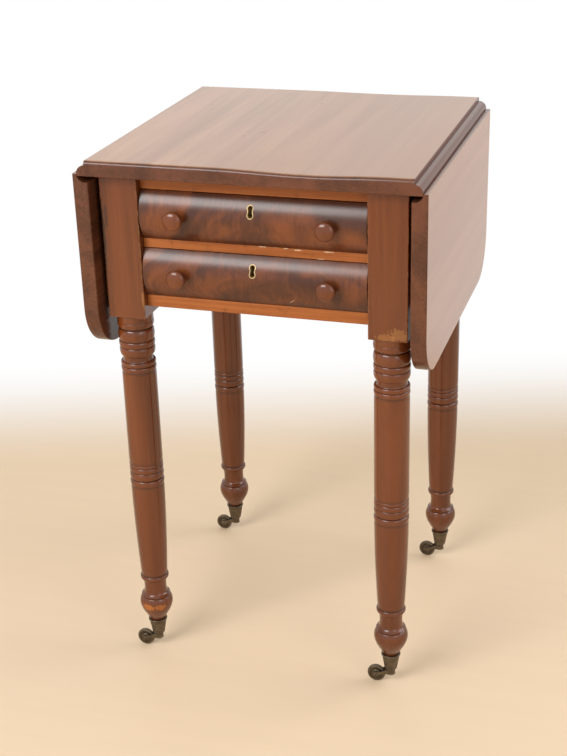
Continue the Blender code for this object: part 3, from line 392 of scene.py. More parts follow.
def run_tree(piece, tree, values):
    step = piece.modifiers.new(tree.name, "NODES")
    step.node_group = tree
    for item in tree.interface.items_tree:
        if item.in_out == "INPUT" and item.name in values:
            step[item.identifier] = values[item.name]
    return settle(piece)


def end_tree(tree, geometry, finish):
    real = tree_node(tree, "GeometryNodeRealizeInstances", {"Geometry": geometry}).outputs[0]
    values = {"Geometry": real, "Material": finish}
    coated = tree_node(tree, "GeometryNodeSetMaterial", values).outputs[0]
    tree_node(tree, "NodeGroupOutput", {"Geometry": coated})
    return tree


def turning_tree():
    """Carries a profile round the Z axis. A profile point is at x = radius, y = -height."""
    inputs = [
        ("Geometry", "Geometry", None),
        ("Sides", "Int", 96),
        ("Core Radius", "Float", 0.001),
        ("Merge Distance", "Float", SAME_POINT),
        ("Finish", "Material", None),
    ]
    tree = tree_with("turning", inputs)
    given = tree_node(tree, "NodeGroupInput").outputs
    profile = tree_node(tree, "GeometryNodeMeshToCurve", {"Mesh": given["Geometry"]}).outputs[0]
    values = {"Resolution": given["Sides"], "Radius": given["Core Radius"]}
    circle = tree_node(tree, "GeometryNodeCurvePrimitiveCircle", values).outputs["Curve"]
    values = {"Curve": circle, "Profile Curve": profile}
    swept = tree_node(tree, "GeometryNodeCurveToMesh", values).outputs[0]
    values = {"Geometry": swept, "Distance": given["Merge Distance"]}
    merged = tree_node(tree, "GeometryNodeMergeByDistance", values).outputs[0]
    return end_tree(tree, merged, given["Finish"])


def screw_tree():
    """Slotted heads on points, each facing along the point's facing and turned by its turn."""
    inputs = [
        ("Geometry", "Geometry", None),
        ("Head Radius", "Float", 0.0024),
        ("Head Height", "Float", 0.0008),
        ("Slot Width", "Float", 0.0006),
        ("Slot Depth", "Float", 0.0005),
        ("Finish", "Material", None),
    ]
    tree = tree_with("slotted_screws", inputs)
    given = tree_node(tree, "NodeGroupInput").outputs
    values = {
        "Vertices": SCREW_SIDES, "Radius": given["Head Radius"], "Depth": given["Head Height"]
    }
    head = tree_node(tree, "GeometryNodeMeshCylinder", values).outputs["Mesh"]
    # The bar that cuts the slot is longer than the head, and half of it is above the face
    bar_size = {
        "X": tree_math(tree, "MULTIPLY", given["Head Radius"], 3.0),
        "Y": given["Slot Width"],
        "Z": tree_math(tree, "MULTIPLY", given["Slot Depth"], 2.0),
    }
    size = tree_node(tree, "ShaderNodeCombineXYZ", bar_size).outputs[0]
    bar = tree_node(tree, "GeometryNodeMeshCube", {"Size": size}).outputs["Mesh"]
    face = tree_math(tree, "MULTIPLY", given["Head Height"], 0.5)
    up = tree_node(tree, "ShaderNodeCombineXYZ", {"Z": face}).outputs[0]
    values = {"Geometry": bar, "Translation": up}
    raised = tree_node(tree, "GeometryNodeTransform", values).outputs[0]
    values = {"Mesh 1": head, "Mesh 2": raised}
    slotted = tree_node(tree, "GeometryNodeMeshBoolean", values, operation="DIFFERENCE")
    attribute = "GeometryNodeInputNamedAttribute"
    facing = tree_node(tree, attribute, {"Name": "facing"}, data_type="FLOAT_VECTOR").outputs[0]
    turn = tree_node(tree, attribute, {"Name": "turn"}, data_type="FLOAT").outputs[0]
    values = {"Axis": (0, 0, 1), "Angle": turn}
    spun = tree_node(tree, "FunctionNodeAxisAngleToRotation", values).outputs[0]
    values = {"Rotation": spun, "Vector": facing}
    aimed = tree_node(tree, "FunctionNodeAlignRotationToVector", values, axis="Z").outputs[0]
    values = {
        "Points": given["Geometry"], "Instance": slotted.outputs["Mesh"], "Rotation": aimed
    }
    placed = tree_node(tree, "GeometryNodeInstanceOnPoints", values).outputs[0]
    return end_tree(tree, placed, given["Finish"])


TREE_MAKERS = {"turning": turning_tree, "slotted_screws": screw_tree}
TURNING_CORE = 0.001  # radius of the circle that the profile is carried along


def tree_named(name):
    return bpy.data.node_groups.get(name) or TREE_MAKERS[name]()


def turned(name, profile, finish, sides, closed=False):
    """A turning from (radius, height, recess) points; recess is kept for painted shade and dirt in
    the grooves of wood, and tarnish in the hollows of metal.
    """
    bm = bmesh.new()
    recess = bm.verts.layers.float.new("recess")
    points = []
    for radius, height, depth in profile:
        point = bm.verts.new((radius - TURNING_CORE, -height, 0))
        point[recess] = depth
        points.append(point)
    for first, second in zip(points, points[1:]):
        bm.edges.new((first, second))
    if closed:
        bm.edges.new((points[-1], points[0]))
    piece = from_bmesh(name, bm)
    values = {"Sides": sides, "Core Radius": TURNING_CORE, "Finish": finish}
    run_tree(piece, tree_named("turning"), values)
    bm = bmesh.new()
    bm.from_mesh(piece.data)
    bmesh.ops.recalc_face_normals(bm, faces=bm.faces)
    bm.to_mesh(piece.data)
    bm.free()
    return piece


# Marks that the wood carries
TAN = (0.40, 0.170, 0.048)
ORANGE = (0.52, 0.165, 0.026)
GRIME = (0.030, 0.013, 0.008)
# Painted shade and dirt for the grooves and hollows of the turned wood
GROOVE_SHADE_AND_DIRT = (0.028, 0.010, 0.006)
DOT = (0.06, 0.03, 0.02)
BARE_VENEER = (0.62, 0.42, 0.27)
CHIPPED_EDGE = (0.66, 0.43, 0.22)
CHIPPED_FACE = (0.70, 0.50, 0.31)
RUST = (0.10, 0.045, 0.022)
POST_FACE = POST_LOW.y
# (place, size, strength, colour, raggedness, fineness)
LEG_MARKS = (
    ((0.1850, POST_FACE, 0.5290), (0.0115, 0.004, 0.0085), 0.42, TAN, 2.6, 340.0),
    ((0.1690, POST_FACE, 0.5235), (0.0125, 0.004, 0.0052), 0.42, TAN, 2.6, 340.0),
    ((-0.1755, -0.1948, 0.0772), (0.0110, 0.007, 0.0048), 0.64, ORANGE, 2.4, 420.0),
    ((-0.1575, -0.1900, 0.0776), (0.0100, 0.007, 0.0046), 0.56, ORANGE, 2.4, 420.0),
    ((-0.1955, POST_FACE, 0.630), (0.0030, 0.003, 0.050), 0.80, GRIME, 1.2, 190.0),
    ((-0.1900, POST_FACE, 0.655), (0.0022, 0.003, 0.018), 0.60, GRIME, 1.2, 220.0),
    ((-0.1475, POST_FACE, 0.548), (0.0024, 0.003, 0.012), 0.45, TAN, 0.9, 260.0),
)
# (place, size)
TOP_DOTS = (
    ((-0.1530, 0.1019, 0.730), (0.0022, 0.0024, 0.004)),
    ((-0.0314, -0.0376, 0.730), (0.0046, 0.0022, 0.006)),
    ((-0.0505, -0.0606, 0.730), (0.0018, 0.0026, 0.004)),
    ((-0.0006, 0.1363, 0.730), (0.0020, 0.0024, 0.004)),
    ((0.2230, 0.0496, 0.6845), (0.002, 0.0022, 0.0016)),
)
RAIL_CHIPS = (
    ((0.0106, RAIL_LOW.y, RAIL_HIGH.z), (0.0055, 0.004, 0.0010)),
    ((0.0413, RAIL_LOW.y, RAIL_HIGH.z), (0.0024, 0.004, 0.0017)),
    ((0.0573, RAIL_LOW.y, RAIL_HIGH.z - 0.0015), (0.0050, 0.004, 0.0010)),
    ((0.0963, RAIL_LOW.y, RAIL_HIGH.z - 0.0012), (0.0065, 0.004, 0.0009)),
    ((0.0850, RAIL_LOW.y, RAIL_LOW.z), (0.0060, 0.004, 0.0010)),
)
# On the drawer fronts: (place across, height, half width, half height, strength)
VENEER_FACE = -0.190
VENEER_DEPTH = 0.03
VENEER_GLOWS = (
    (-0.125, 0.652, 0.034, 0.030, 0.55),
    (-0.032, 0.645, 0.012, 0.014, 0.55),
    (0.032, 0.643, 0.013, 0.014, 0.60),
    (0.125, 0.648, 0.028, 0.026, 0.70),
    (-0.125, 0.586, 0.028, 0.028, 0.45),
    (0.128, 0.576, 0.020, 0.030, 0.60),
    (0.070, 0.597, 0.016, 0.007, 0.60),
)
VENEER_SHADES = (
    (-0.070, 0.646, 0.022, 0.016, 0.60),
    (-0.004, 0.645, 0.019, 0.020, 0.55),
    (0.064, 0.648, 0.019, 0.022, 0.60),
    (0.042, 0.573, 0.042, 0.018, 0.65),
    (-0.012, 0.566, 0.020, 0.010, 0.50),
)
SCRATCH_PLACE = (0.0493, -0.1905, 0.5593)
SCRATCH_SIZE = (0.0058, 0.006, 0.0006)
SCRATCH_TURN = 38.0

# How the grain is drawn: the parts of a noise that count, and how much longer than wide it is
FIBRE_RANGE = (0.3, 0.7)
PORE_RANGE = (0.60, 0.70)
TONE_RANGE = (0.34, 0.66)
BAND_STRETCH = 22
FIBRE_STRETCH = 60
PORE_STRETCH = 11
PORE_FINENESS = 3.2
GRAIN = {
    "X": lambda along, across: (along, across, across),
    "Y": lambda along, across: (across, along, across),
    "Z": lambda along, across: (across, across, along),
}


# Finishes
def toned(shade, by):
    return [c * by for c in shade]


class Finish:
    """A material being made: its nodes, and short ways to join them."""

    def __init__(self, name, **shader):
        self.material = bpy.data.materials.new(name)
        self.material.use_nodes = True
        self.tree = self.material.node_tree
        self.shader = self.tree.nodes["Principled BSDF"]
        for socket, value in shader.items():
            self.shader.inputs[socket.replace("_", " ")].default_value = value
        self.place = self.node("ShaderNodeTexCoord").outputs["Object"]

    def node(self, kind, inputs=(), **settings):
        return tree_node(self.tree, kind, inputs, **settings)

    def axes(self):
        return self.node("ShaderNodeSeparateXYZ", {0: self.place}).outputs

    def noise(self, scale, detail, roughness=0.55, distortion=0.0, vector=None):
        """A cloudy pattern with this many clouds to a metre along each axis."""
        spread = self.node("ShaderNodeMapping", {"Vector": vector or self.place, "Scale": scale})
        values = {
            "Vector": spread.outputs[0],
            "Scale": 1.0,
            "Detail": detail,
            "Roughness": roughness,
            "Distortion": distortion,
        }
        return self.node("ShaderNodeTexNoise", values).outputs["Fac"]

    def between(self, value, low, high, start=0.0, end=1.0):
        values = {
            "Value": value, "From Min": low, "From Max": high, "To Min": start, "To Max": end
        }
        node = self.node("ShaderNodeMapRange", values, interpolation_type="SMOOTHSTEP")
        return node.outputs["Result"]

    def math(self, operation, first, second, third=0.0):
        values = {0: first, 1: second, 2: third}
        return self.node("ShaderNodeMath", values, operation=operation).outputs[0]

    def vector_math(self, operation, first, second=(0, 0, 0), output="Vector"):
        values = {0: first, 1: second}
        return self.node("ShaderNodeVectorMath", values, operation=operation).outputs[output]

    def mix(self, share, first, second):
        node = self.node("ShaderNodeMix", data_type="RGBA")
        given = {"Factor_Float": share, "A_Color": first, "B_Color": second}
        for socket in node.inputs:
            value = given.get(socket.identifier)
            if isinstance(value, bpy.types.NodeSocket):
                self.tree.links.new(value, socket)
            elif value is not None:
                socket.default_value = (*value, 1)
        return next(s for s in node.outputs if s.identifier == "Result_Color")

    def laid(self, base, shade, mask, strength):
        """The base with a shade laid over it where the mask is."""
        return self.mix(self.math("MULTIPLY", mask, strength), base, shade)

    def shaded(self, base, shade, pattern, low, high, most):
        """The base with a shade that grows as the pattern goes from low to high."""
        return self.mix(self.between(pattern, low, high, 0.0, most), base, shade)

    def attribute(self, name):
        return self.node("ShaderNodeAttribute", attribute_name=name).outputs["Fac"]

    def away(self, place, size, turn=0.0):
        """How many sizes a point lies from a place, with the size turned about Y."""
        vector = self.vector_math("SUBTRACT", self.place, place)
        if turn:
            values = {"Vector": vector, "Angle": math.radians(turn)}
            vector = self.node("ShaderNodeVectorRotate", values, rotation_type="Y_AXIS").outputs[0]
        return self.vector_math("LENGTH", self.vector_math("DIVIDE", vector, size), output="Value")

    def spot(self, place, size, ragged=0.5, fineness=260.0, core=0.8):
        """A ragged patch round a place on the piece, 1 inside and 0 outside."""
        edge = self.math("MULTIPLY_ADD", self.noise((fineness,) * 3, 3.0), ragged, -ragged / 2)
        return self.between(self.math("ADD", self.away(place, size), edge), core, 1.0, 1.0, 0.0)

    def end(self, base, roughness, bump, height, strength):
        values = {"Height": bump, "Distance": height, "Strength": strength}
        normal = self.node("ShaderNodeBump", values).outputs[0]
        given = {"Base Color": base, "Roughness": roughness, "Normal": normal}
        for socket, value in given.items():
            self.tree.links.new(value, self.shader.inputs[socket])
        return self.material


def wood_figure(finish, axis, band=34.0, fibre=420.0):
    """Bands, fibres and pores that run along an axis, from how many lie in a metre."""
    stretch = GRAIN[axis]
    bands = finish.noise(stretch(band / BAND_STRETCH, band), 3.0, distortion=0.6)
    fibres = finish.noise(stretch(fibre / FIBRE_STRETCH, fibre), 5.0, roughness=0.65)
    pores = finish.noise(stretch(fibre / PORE_STRETCH, fibre * PORE_FINENESS), 2.0)
    return bands, fibres, finish.between(pores, *PORE_RANGE)


def wood_colour(finish, figure, light, dark, pore_depth=0.35, fibre_share=0.38):
    bands, fibres, pores = figure
    fine = finish.math("MULTIPLY", fibres, fibre_share)
    tone = finish.math("MULTIPLY_ADD", bands, 1 - fibre_share, fine)
    base = finish.mix(finish.between(tone, *TONE_RANGE), dark, light)
    return finish.laid(base, toned(dark, 0.35), pores, pore_depth)


def polished(name, coat, coat_roughness):
    """A wood finish whose gloss comes from its coat alone."""
    return Finish(
        name, Coat_Weight=coat, Coat_Roughness=coat_roughness, Specular_IOR_Level=0.0
    )


def leg_mahogany():
    tint = colours()
    dark = tint.mahogany_dark
    finish = polished("polished_mahogany", 1.0, 0.10)
    figure = wood_figure(finish, "Z")
    base = wood_colour(finish, figure, tint.mahogany_light, dark, 0.25, 0.22)
    # Painted shade: the legs grow darker towards the floor
    painted_shade_near_floor = finish.between(finish.axes()["Z"], 0.06, 0.45, 0.45, 0.0)
    base = finish.mix(painted_shade_near_floor, base, toned(dark, 0.9))
    smudges = finish.noise((26, 26, 9), 4.0)
    base = finish.shaded(base, toned(dark, 0.4), smudges, 0.56, 0.74, 0.32)
    # Painted shade and dirt darken the grooves, hollows and crevices through their recess
    base = finish.laid(base, GROOVE_SHADE_AND_DIRT, finish.attribute("recess"), 0.75)
    scuffs = finish.between(finish.noise((240, 240, 150), 3.0), 0.42, 0.62)
    worn = finish.math("MULTIPLY", finish.attribute("wear"), scuffs)
    base = finish.laid(base, tint.raw_wood, worn, 0.55)
    for place, size, strength, shade, ragged, fineness in LEG_MARKS:
        base = finish.laid(base, shade, finish.spot(place, size, ragged, fineness), strength)
    rough = finish.between(figure[1], *FIBRE_RANGE, 0.34, 0.46)
    return finish.end(base, rough, figure[2], 0.00008, 0.35)


def fade_and_sheen_mahogany():
    tint = colours()
    dark = tint.top_dark
    finish = polished("fade_and_sheen_mahogany", 0.82, 0.18)
    figure = wood_figure(finish, "Y", band=26.0, fibre=380.0)
    face = wood_colour(finish, figure, tint.top_light, dark, 0.14, 0.16)
    face = finish.shaded(face, dark, finish.noise((9, 4, 9), 3.0), 0.40, 0.66, 0.35)
    # Painted shade: the top and the leaves grow darker towards the right
    face = finish.shaded(face, dark, finish.axes()["X"], -0.16, 0.21, 0.7)
    edge = wood_colour(finish, figure, toned(tint.edge, 1.35), toned(tint.edge, 0.62))
    # Painted sheen: the flat of the top and the outer faces of the leaves are paler than their
    # edges, partly real fading and partly painted sheen
    base = finish.mix(finish.attribute("show"), edge, face)
    for place, size in TOP_DOTS:
        base = finish.laid(base, DOT, finish.spot(place, size, 0.3), 0.55)
    rough = finish.between(figure[1], *FIBRE_RANGE, 0.36, 0.46)
    return finish.end(base, rough, figure[2], 0.00005, 0.25)


def flame_veneer():
    tint = colours()
    light, dark = tint.flame_light, tint.flame_dark
    finish = polished("flame_veneer", 0.9, 0.24)
    # The figure runs up the middle and bends outwards like a feather
    axes = finish.axes()
    drift = finish.math("MULTIPLY_ADD", finish.noise((9, 1, 13), 3.0), 0.09, -0.10)
    across = finish.math("ADD", axes["X"], drift)
    spread = finish.math("MULTIPLY", finish.math("MULTIPLY", across, across), 4.6)
    feather = {"X": across, "Y": axes["Y"], "Z": finish.math("ADD", axes["Z"], spread)}
    bent = finish.node("ShaderNodeCombineXYZ", feather).outputs[0]
    flames = finish.noise((8, 2, 19), 4.0, distortion=0.3, vector=bent)
    streaks = finish.noise((150, 3, 22), 4.0, roughness=0.6, vector=bent)
    fibres = finish.noise((620, 40, 16), 4.0, roughness=0.6)
    tone = finish.math("MULTIPLY_ADD", flames, 0.70, finish.math("MULTIPLY", streaks, 0.18))
    tone = finish.math("MULTIPLY_ADD", fibres, 0.12, tone)
    base = finish.mix(finish.between(tone, 0.38, 0.62), dark, light)
    patches = ((VENEER_GLOWS, toned(light, 1.12), 50.0), (VENEER_SHADES, dark, 45.0))
    for spots, shade, fineness in patches:
        for x, z, half_width, half_height, strength in spots:
            place, size = (x, VENEER_FACE, z), (half_width, VENEER_DEPTH, half_height)
            base = finish.laid(base, shade, finish.spot(place, size, 0.9, fineness, 0.0), strength)
    far = finish.away(SCRATCH_PLACE, SCRATCH_SIZE, SCRATCH_TURN)
    base = finish.laid(base, BARE_VENEER, finish.between(far, 0.6, 1.0, 1.0, 0.0), 0.85)
    pores = finish.between(finish.noise((1300, 60, 45), 2.0), *PORE_RANGE)
    base = finish.laid(base, toned(dark, 0.4), pores, 0.35)
    base = finish.laid(base, toned(dark, 0.8), finish.attribute("wear"), 0.5)
    rough = finish.between(fibres, *FIBRE_RANGE, 0.30, 0.44)
    return finish.end(base, rough, fibres, 0.00012, 0.38)


def cherry():
    tint = colours()
    finish = polished("rail_cherry", 0.4, 0.22)
    figure = wood_figure(finish, "X", band=60.0)
    base = wood_colour(finish, figure, tint.rail_light, tint.rail_dark, 0.25)
    chips = finish.between(finish.noise((150, 90, 210), 2.0), 0.60, 0.66)
    chipped = finish.math("MULTIPLY", finish.attribute("wear"), chips)
    base = finish.laid(base, CHIPPED_EDGE, chipped, 0.40)
    for place, size in RAIL_CHIPS:
        base = finish.laid(base, CHIPPED_FACE, finish.spot(place, size, 2.0, 640.0), 0.75)
    grime = finish.noise((60, 60, 60), 3.0)
    base = finish.shaded(base, toned(tint.rail_dark, 0.5), grime, 0.55, 0.75, 0.4)
    rough = finish.between(figure[1], *FIBRE_RANGE, 0.38, 0.50)
    return finish.end(base, rough, figure[2], 0.00006, 0.3)


def poplar(axis):
    tint = colours()
    finish = Finish(f"poplar_along_{axis.lower()}", Specular_IOR_Level=0.35)
    figure = wood_figure(finish, axis, band=46.0, fibre=320.0)
    base = wood_colour(finish, figure, tint.poplar_light, tint.poplar_dark, 0.25)
    stain = finish.noise((11, 11, 11), 4.0)
    base = finish.shaded(base, toned(tint.poplar_dark, 0.5), stain, 0.50, 0.72, 0.5)
    rough = finish.between(figure[1], *FIBRE_RANGE, 0.58, 0.74)
    return finish.end(base, rough, figure[1], 0.00012, 0.3)


def metal(name, tone, tarnish, rough, spread, coarse=160.0):
    """A metal with cloudy tarnish, fine handling scratches and darker recesses."""
    finish = Finish(name, Metallic=1.0)
    cloud = finish.noise((coarse,) * 3, 5.0, roughness=0.6)
    base = finish.mix(finish.between(cloud, 0.38, 0.66), tarnish, tone)
    base = finish.laid(base, toned(tarnish, 0.3), finish.attribute("recess"), 0.7)
    fine = finish.noise((900, 900, 900), 3.0)
    level = finish.between(cloud, 0.35, 0.7, rough + spread, rough)
    return finish.end(base, level, fine, 0.00004, 0.25)


def old_brass():
    tone = colours().brass
    return metal("old_brass", tone, toned(tone, 0.70), 0.26, 0.2)


def darkened_brass():
    tone = colours().bronze
    return metal("darkened_brass", tone, toned(tone, 0.68), 0.34, 0.2)


FINISH_MAKERS = {
    "mahogany": leg_mahogany,
    "fade_and_sheen": fade_and_sheen_mahogany,
    "veneer": flame_veneer,
    "cherry": cherry,
    "poplar_x": lambda: poplar("X"),
    "poplar_y": lambda: poplar("Y"),
    "brass": old_brass,
    "bronze": darkened_brass,
    "iron": lambda: metal("hinge_iron", colours().iron, RUST, 0.45, 0.25, 90.0),
}
made_finishes = {}


def finish_of(name):
    if name not in made_finishes:
        made_finishes[name] = FINISH_MAKERS[name]()
    return made_finishes[name]


# Top board
OVOLO_FILLET = 0.0008  # the small round where the flat of the top meets its ovolo
TOP_LOWER_ROUND = 0.0016
SHOW_DEPTH = 0.004  # the faded face with its painted sheen reaches this far down
BACK_WAVE_LOSS = 0.6  # the back edge has sunk less than the front one


def top_outline():
    corner = arc(PIN.x - OVOLO_FILLET, TOP_HIGH.z - OVOLO_FILLET, OVOLO_FILLET, 0, 90, 4)
    lowest = -math.degrees(math.asin(PIN_RISE / JOINT_RADIUS))
    right = [*reversed(corner), *arc(PIN.x, PIN.z, JOINT_RADIUS, 90, lowest, ARC_STEPS)]
    return right + flipped(right)


def edge_outline():
    upper, lower = sizes().top_round, TOP_LOWER_ROUND
    rear = [
        *arc(HALF_DEPTH - lower, TOP_LOW.z + lower, lower, -90, 0, 4),
        *arc(HALF_DEPTH - upper, TOP_HIGH.z - upper, upper, 0, 90, 10),
    ]
    return rear + flipped(rear)


def hinge_places():
    return [
        (side, sign, end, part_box(f"hinge_top_flap_{end}_{side}"))
        for side, sign in SIDES
        for end in ENDS
    ]


def top_pockets():
    """Room for the hinge flaps, their barrels, the sweep of the leaf flaps and the bracket pins."""
    cutters = []
    below = TOP_LOW.z - PAST
    for _, sign, _, (low, high) in hinge_places():
        inner = min(abs(low.x), abs(high.x)) - FIT
        spans = (
            (inner, PIN.x, TOP_LOW.z + HINGE_THICKNESS + FIT),
            (PIN.x - PAST, PIN.x + BARREL_GROOVE, PIN.z + BARREL_GROOVE),
            (PIN.x - FIT, TOP_HIGH.x + PAST, PIN.z - HINGE_THICKNESS + FIT),
        )
        for start, stop, ceiling in spans:
            left, right = sorted((sign * start, sign * stop))
            corners = (left, low.y - FIT, below), (right, high.y + FIT, ceiling)
            cutters.append(block("pocket", *corners))
    for side, _ in SIDES:
        pin = Vector(JOINTS[f"{side}_bracket_swing"]["pos_m"])
        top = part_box(f"leaf_bracket_{side}")[1].z + FIT
        hole = arc(pin.x, pin.y, BRACKET_PIN_HOLE, 0, 330, 11)
        cutters.append(plate("pocket", hole, "Z", below, top))
    return cutters


def top_wave(point):
    """How far the face of the top has sunk at a place across its width."""
    share = (point.x / PIN.x + 1) / 2
    sink = step_between(share, 0.40, 0.67) * (1 - step_between(share, 0.70, 0.93))
    depth = (point.z - TOP_LOW.z) / (TOP_HIGH.z - TOP_LOW.z)
    fading = 1 - BACK_WAVE_LOSS * (point.y / HALF_DEPTH + 1) / 2
    return -sizes().top_wave * sink * depth * fading


def top_show(vertex):
    """1 on the flat of the top, 0 on its edges and below."""
    if vertex.co.z <= TOP_HIGH.z - SHOW_DEPTH:
        return 0
    return step_between(vertex.normal.z, 0.80, 0.97)


class STAND_OT_top(bpy.types.Operator):
    """Make the top board with its rule-joint edges"""

    bl_idname = "stand.top"
    bl_label = "Top Board"

    def execute(self, context):
        board = plate("worked_top", top_outline(), "Y", -HALF_DEPTH - PAST, HALF_DEPTH + PAST)
        reach = TOP_HIGH.x + PAST
        edges = plate("top_edges", edge_outline(), "X", -reach, reach, EDGE_SLICES)
        combine(board, [edges], "INTERSECT")
        combine(board, top_pockets())
        for vertex in board.data.vertices:
            vertex.co.z += top_wave(vertex.co)
        even_normals(board)
        paint(board, "show", top_show)
        dress(board, finish_of("fade_and_sheen"), "carcase", "mahogany", "top_board")
        return {"FINISHED"}


# Leaves
LEAF_FACE = LEAF_HIGH.x - 0.0001  # past this lies the outer face


def leaf_outline(corner):
    low = LEAF_LOW.z + corner
    front = arc(-HALF_DEPTH + corner, low, corner, 180, 270, ARC_STEPS)
    rear = arc(HALF_DEPTH - corner, low, corner, 270, 360, ARC_STEPS)
    return [(-HALF_DEPTH, TOP_HIGH.z), *front, *rear, (HALF_DEPTH, TOP_HIGH.z)]


def cove_outline(sign):
    sweep = JOINT_RADIUS + JOINT_CLEARANCE
    lip = -math.degrees(math.asin(LIP_GAP / sweep))
    above = TOP_HIGH.z - PIN.z + PAST
    outside = LEAF_HIGH.x - PIN.x + PAST
    inside = -PIN_RISE - PAST
    points = [
        (inside, above),
        (inside, -sweep),
        *arc(0, 0, sweep, -90, lip, ARC_STEPS),
        (outside, -LIP_GAP),
        (outside, above),
    ]
    return [(sign * (PIN.x + across), PIN.z + up) for across, up in points]


def leaf_pockets(side, sign):
    cutters = [plate("cove", cove_outline(sign), "Y", -HALF_DEPTH - PAST, HALF_DEPTH + PAST)]
    inner, outer = LEAF_LOW.x - PAST, LEAF_LOW.x + HINGE_THICKNESS + FIT
    left, right = sorted((sign * inner, sign * outer))
    for end in ENDS:
        low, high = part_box(f"hinge_leaf_flap_{end}_{side}")
        corners = (left, low.y - FIT, low.z - FIT), (right, high.y + FIT, PIN.z)
        cutters.append(block("pocket", *corners))
    return cutters


class STAND_OT_leaves(bpy.types.Operator):
    """Make the two drop leaves with their coved edges"""

    bl_idname = "stand.leaves"
    bl_label = "Leaves"

    def execute(self, context):
        for side, sign in SIDES:
            across = sorted((sign * LEAF_LOW.x, sign * LEAF_HIGH.x))
            leaf = plate(f"worked_leaf_{side}", leaf_outline(sizes().leaf_corner), "X", *across)
            round_edges(leaf, sizes().leaf_arris)
            combine(leaf, leaf_pockets(side, sign))
            even_normals(leaf)
            paint(leaf, "show", lambda vertex: 1 if abs(vertex.co.x) > LEAF_FACE else 0)
            dress(leaf, finish_of("fade_and_sheen"), f"{side}_leaf", "mahogany", f"leaf_{side}")
        return {"FINISHED"}


# Legs: mouldings from the post down, each (length, start, crest, end, place of the crest)
POST_BELOW_PANEL = 0.015
POST_BOTTOM = PANEL_BOTTOM - POST_BELOW_PANEL
NECK_LENGTH = 0.0100
NECK_INSIDE = 0.001  # how far the turning reaches up into the post
QUIRK_RADIUS = 0.0209
QUIRK_LENGTH = 0.0012
LIP = (0.0082, 0.0235, 0.0240, 0.0216, 0.40)
UPPER_MOULDINGS = (
    (0.0170, 0.0207, 0.0239, 0.0219, 0.52),
    (0.0091, 0.0219, 0.0237, 0.0219, 0.45),
    (0.0128, 0.0219, 0.0235, 0.0202, 0.34),
    (0.0074, 0.0202, 0.0196, 0.0206, 0.55),
    (0.0070, 0.0212, 0.0232, 0.0214, 0.38),
    (0.0068, 0.0214, 0.0233, 0.0221, 0.45),
)
MIDDLE_MOULDINGS = (
    (0.0048, 0.0221, 0.0229, 0.0213, 0.50),
    (0.0080, 0.0213, 0.0230, 0.0215, 0.45),
    (0.0112, 0.0215, 0.0231, 0.0204, 0.45),
    (0.0086, 0.0207, 0.0233, 0.0222, 0.50),
)
MIDDLE_RINGS_TOP = {
    "front_left": 0.3025,
    "front_right": 0.2915,
    "rear_left": 0.2925,
    "rear_right": 0.3005,
}
MOULDING_GAP = SAME_POINT * 20  # keeps the end of one moulding apart from the next
DEEP_GROOVE = 0.0016
HOLLOW_SHADE_AND_DIRT = 0.5
LOWER_SHAFT_RADIUS = 0.0227
LOWER_SHAFT_POWER = 1.8
COLLAR_LENGTH = 0.007
COLLAR_RADIUS = 0.0199
COLLAR_UNDERCUT = 0.0008
FOOT_NECK_LENGTH = 0.0225
FOOT_NECK_RADIUS = 0.0156
FOOT_NECK_WAIST = -0.0006
FLARE_ABOVE = 0.003
FLARE_POWER = 2.2
LEDGE_RADIUS = 0.0200
LEDGE_HEIGHT = 0.0124
LEDGE_GROOVE = 0.0189
SHOULDER_RADIUS = 0.0201
SHOULDER_HEIGHT = 0.0098
SHOULDER_POWER = 0.8
VASE_ABOVE = 0.0155
VASE_BELOW = 0.030
VASE_TAPER = 1.3
VASE_SHADE_AND_DIRT_POWER = 6
PLUG_GAP = 0.002
FLAT_SLOPE = 0.00002  # the slight fall of a turned flat


def moulding(top, drop, start, crest, end, peak=0.5):
    """A swelling or a hollow between two edges, as (radius, height, recess) points."""
    points = []
    for share in shares(BEAD_STEPS):
        fullness = math.sin(math.pi * share)
        half = (1 - math.cos(math.pi * share)) / 2
        edge, down = start, 2 * half * peak
        if half > 0.5:
            edge, down = end, part_way(peak, 1, 2 * half - 1)
        # The recess darkens the grooves beside a swelling and the middle of a hollow with painted
        # shade and dirt
        depth = min(abs(crest - edge) / DEEP_GROOVE, 1)
        recess = depth * ((1 - fullness) ** 2 if crest > edge else HOLLOW_SHADE_AND_DIRT * fullness)
        points.append((part_way(edge, crest, fullness), top - drop * down, recess))
    return points


def moulding_row(top, mouldings):
    """Mouldings one below the other, and the height where they end."""
    points = []
    for drop, *shape in mouldings:
        points += moulding(top, drop, *shape)
        top -= drop
        points[-1] = (points[-1][0], top + MOULDING_GAP, points[-1][2])
    return points, top


def shaft(top, bottom, radius_top, radius_bottom, swell=0.0, power=1.0):
    points = []
    for share in shares(SHAFT_STEPS):
        radius = part_way(radius_top, radius_bottom, share ** power)
        radius += swell * math.sin(math.pi * share)
        points.append((radius, part_way(top, bottom, share), 0))
    return points


def socket_radius(height):
    share = (height - SOCKET_LOW.z) / SOCKET_LENGTH
    return part_way(SOCKET_BOTTOM_RADIUS, SOCKET_TOP_RADIUS, share)


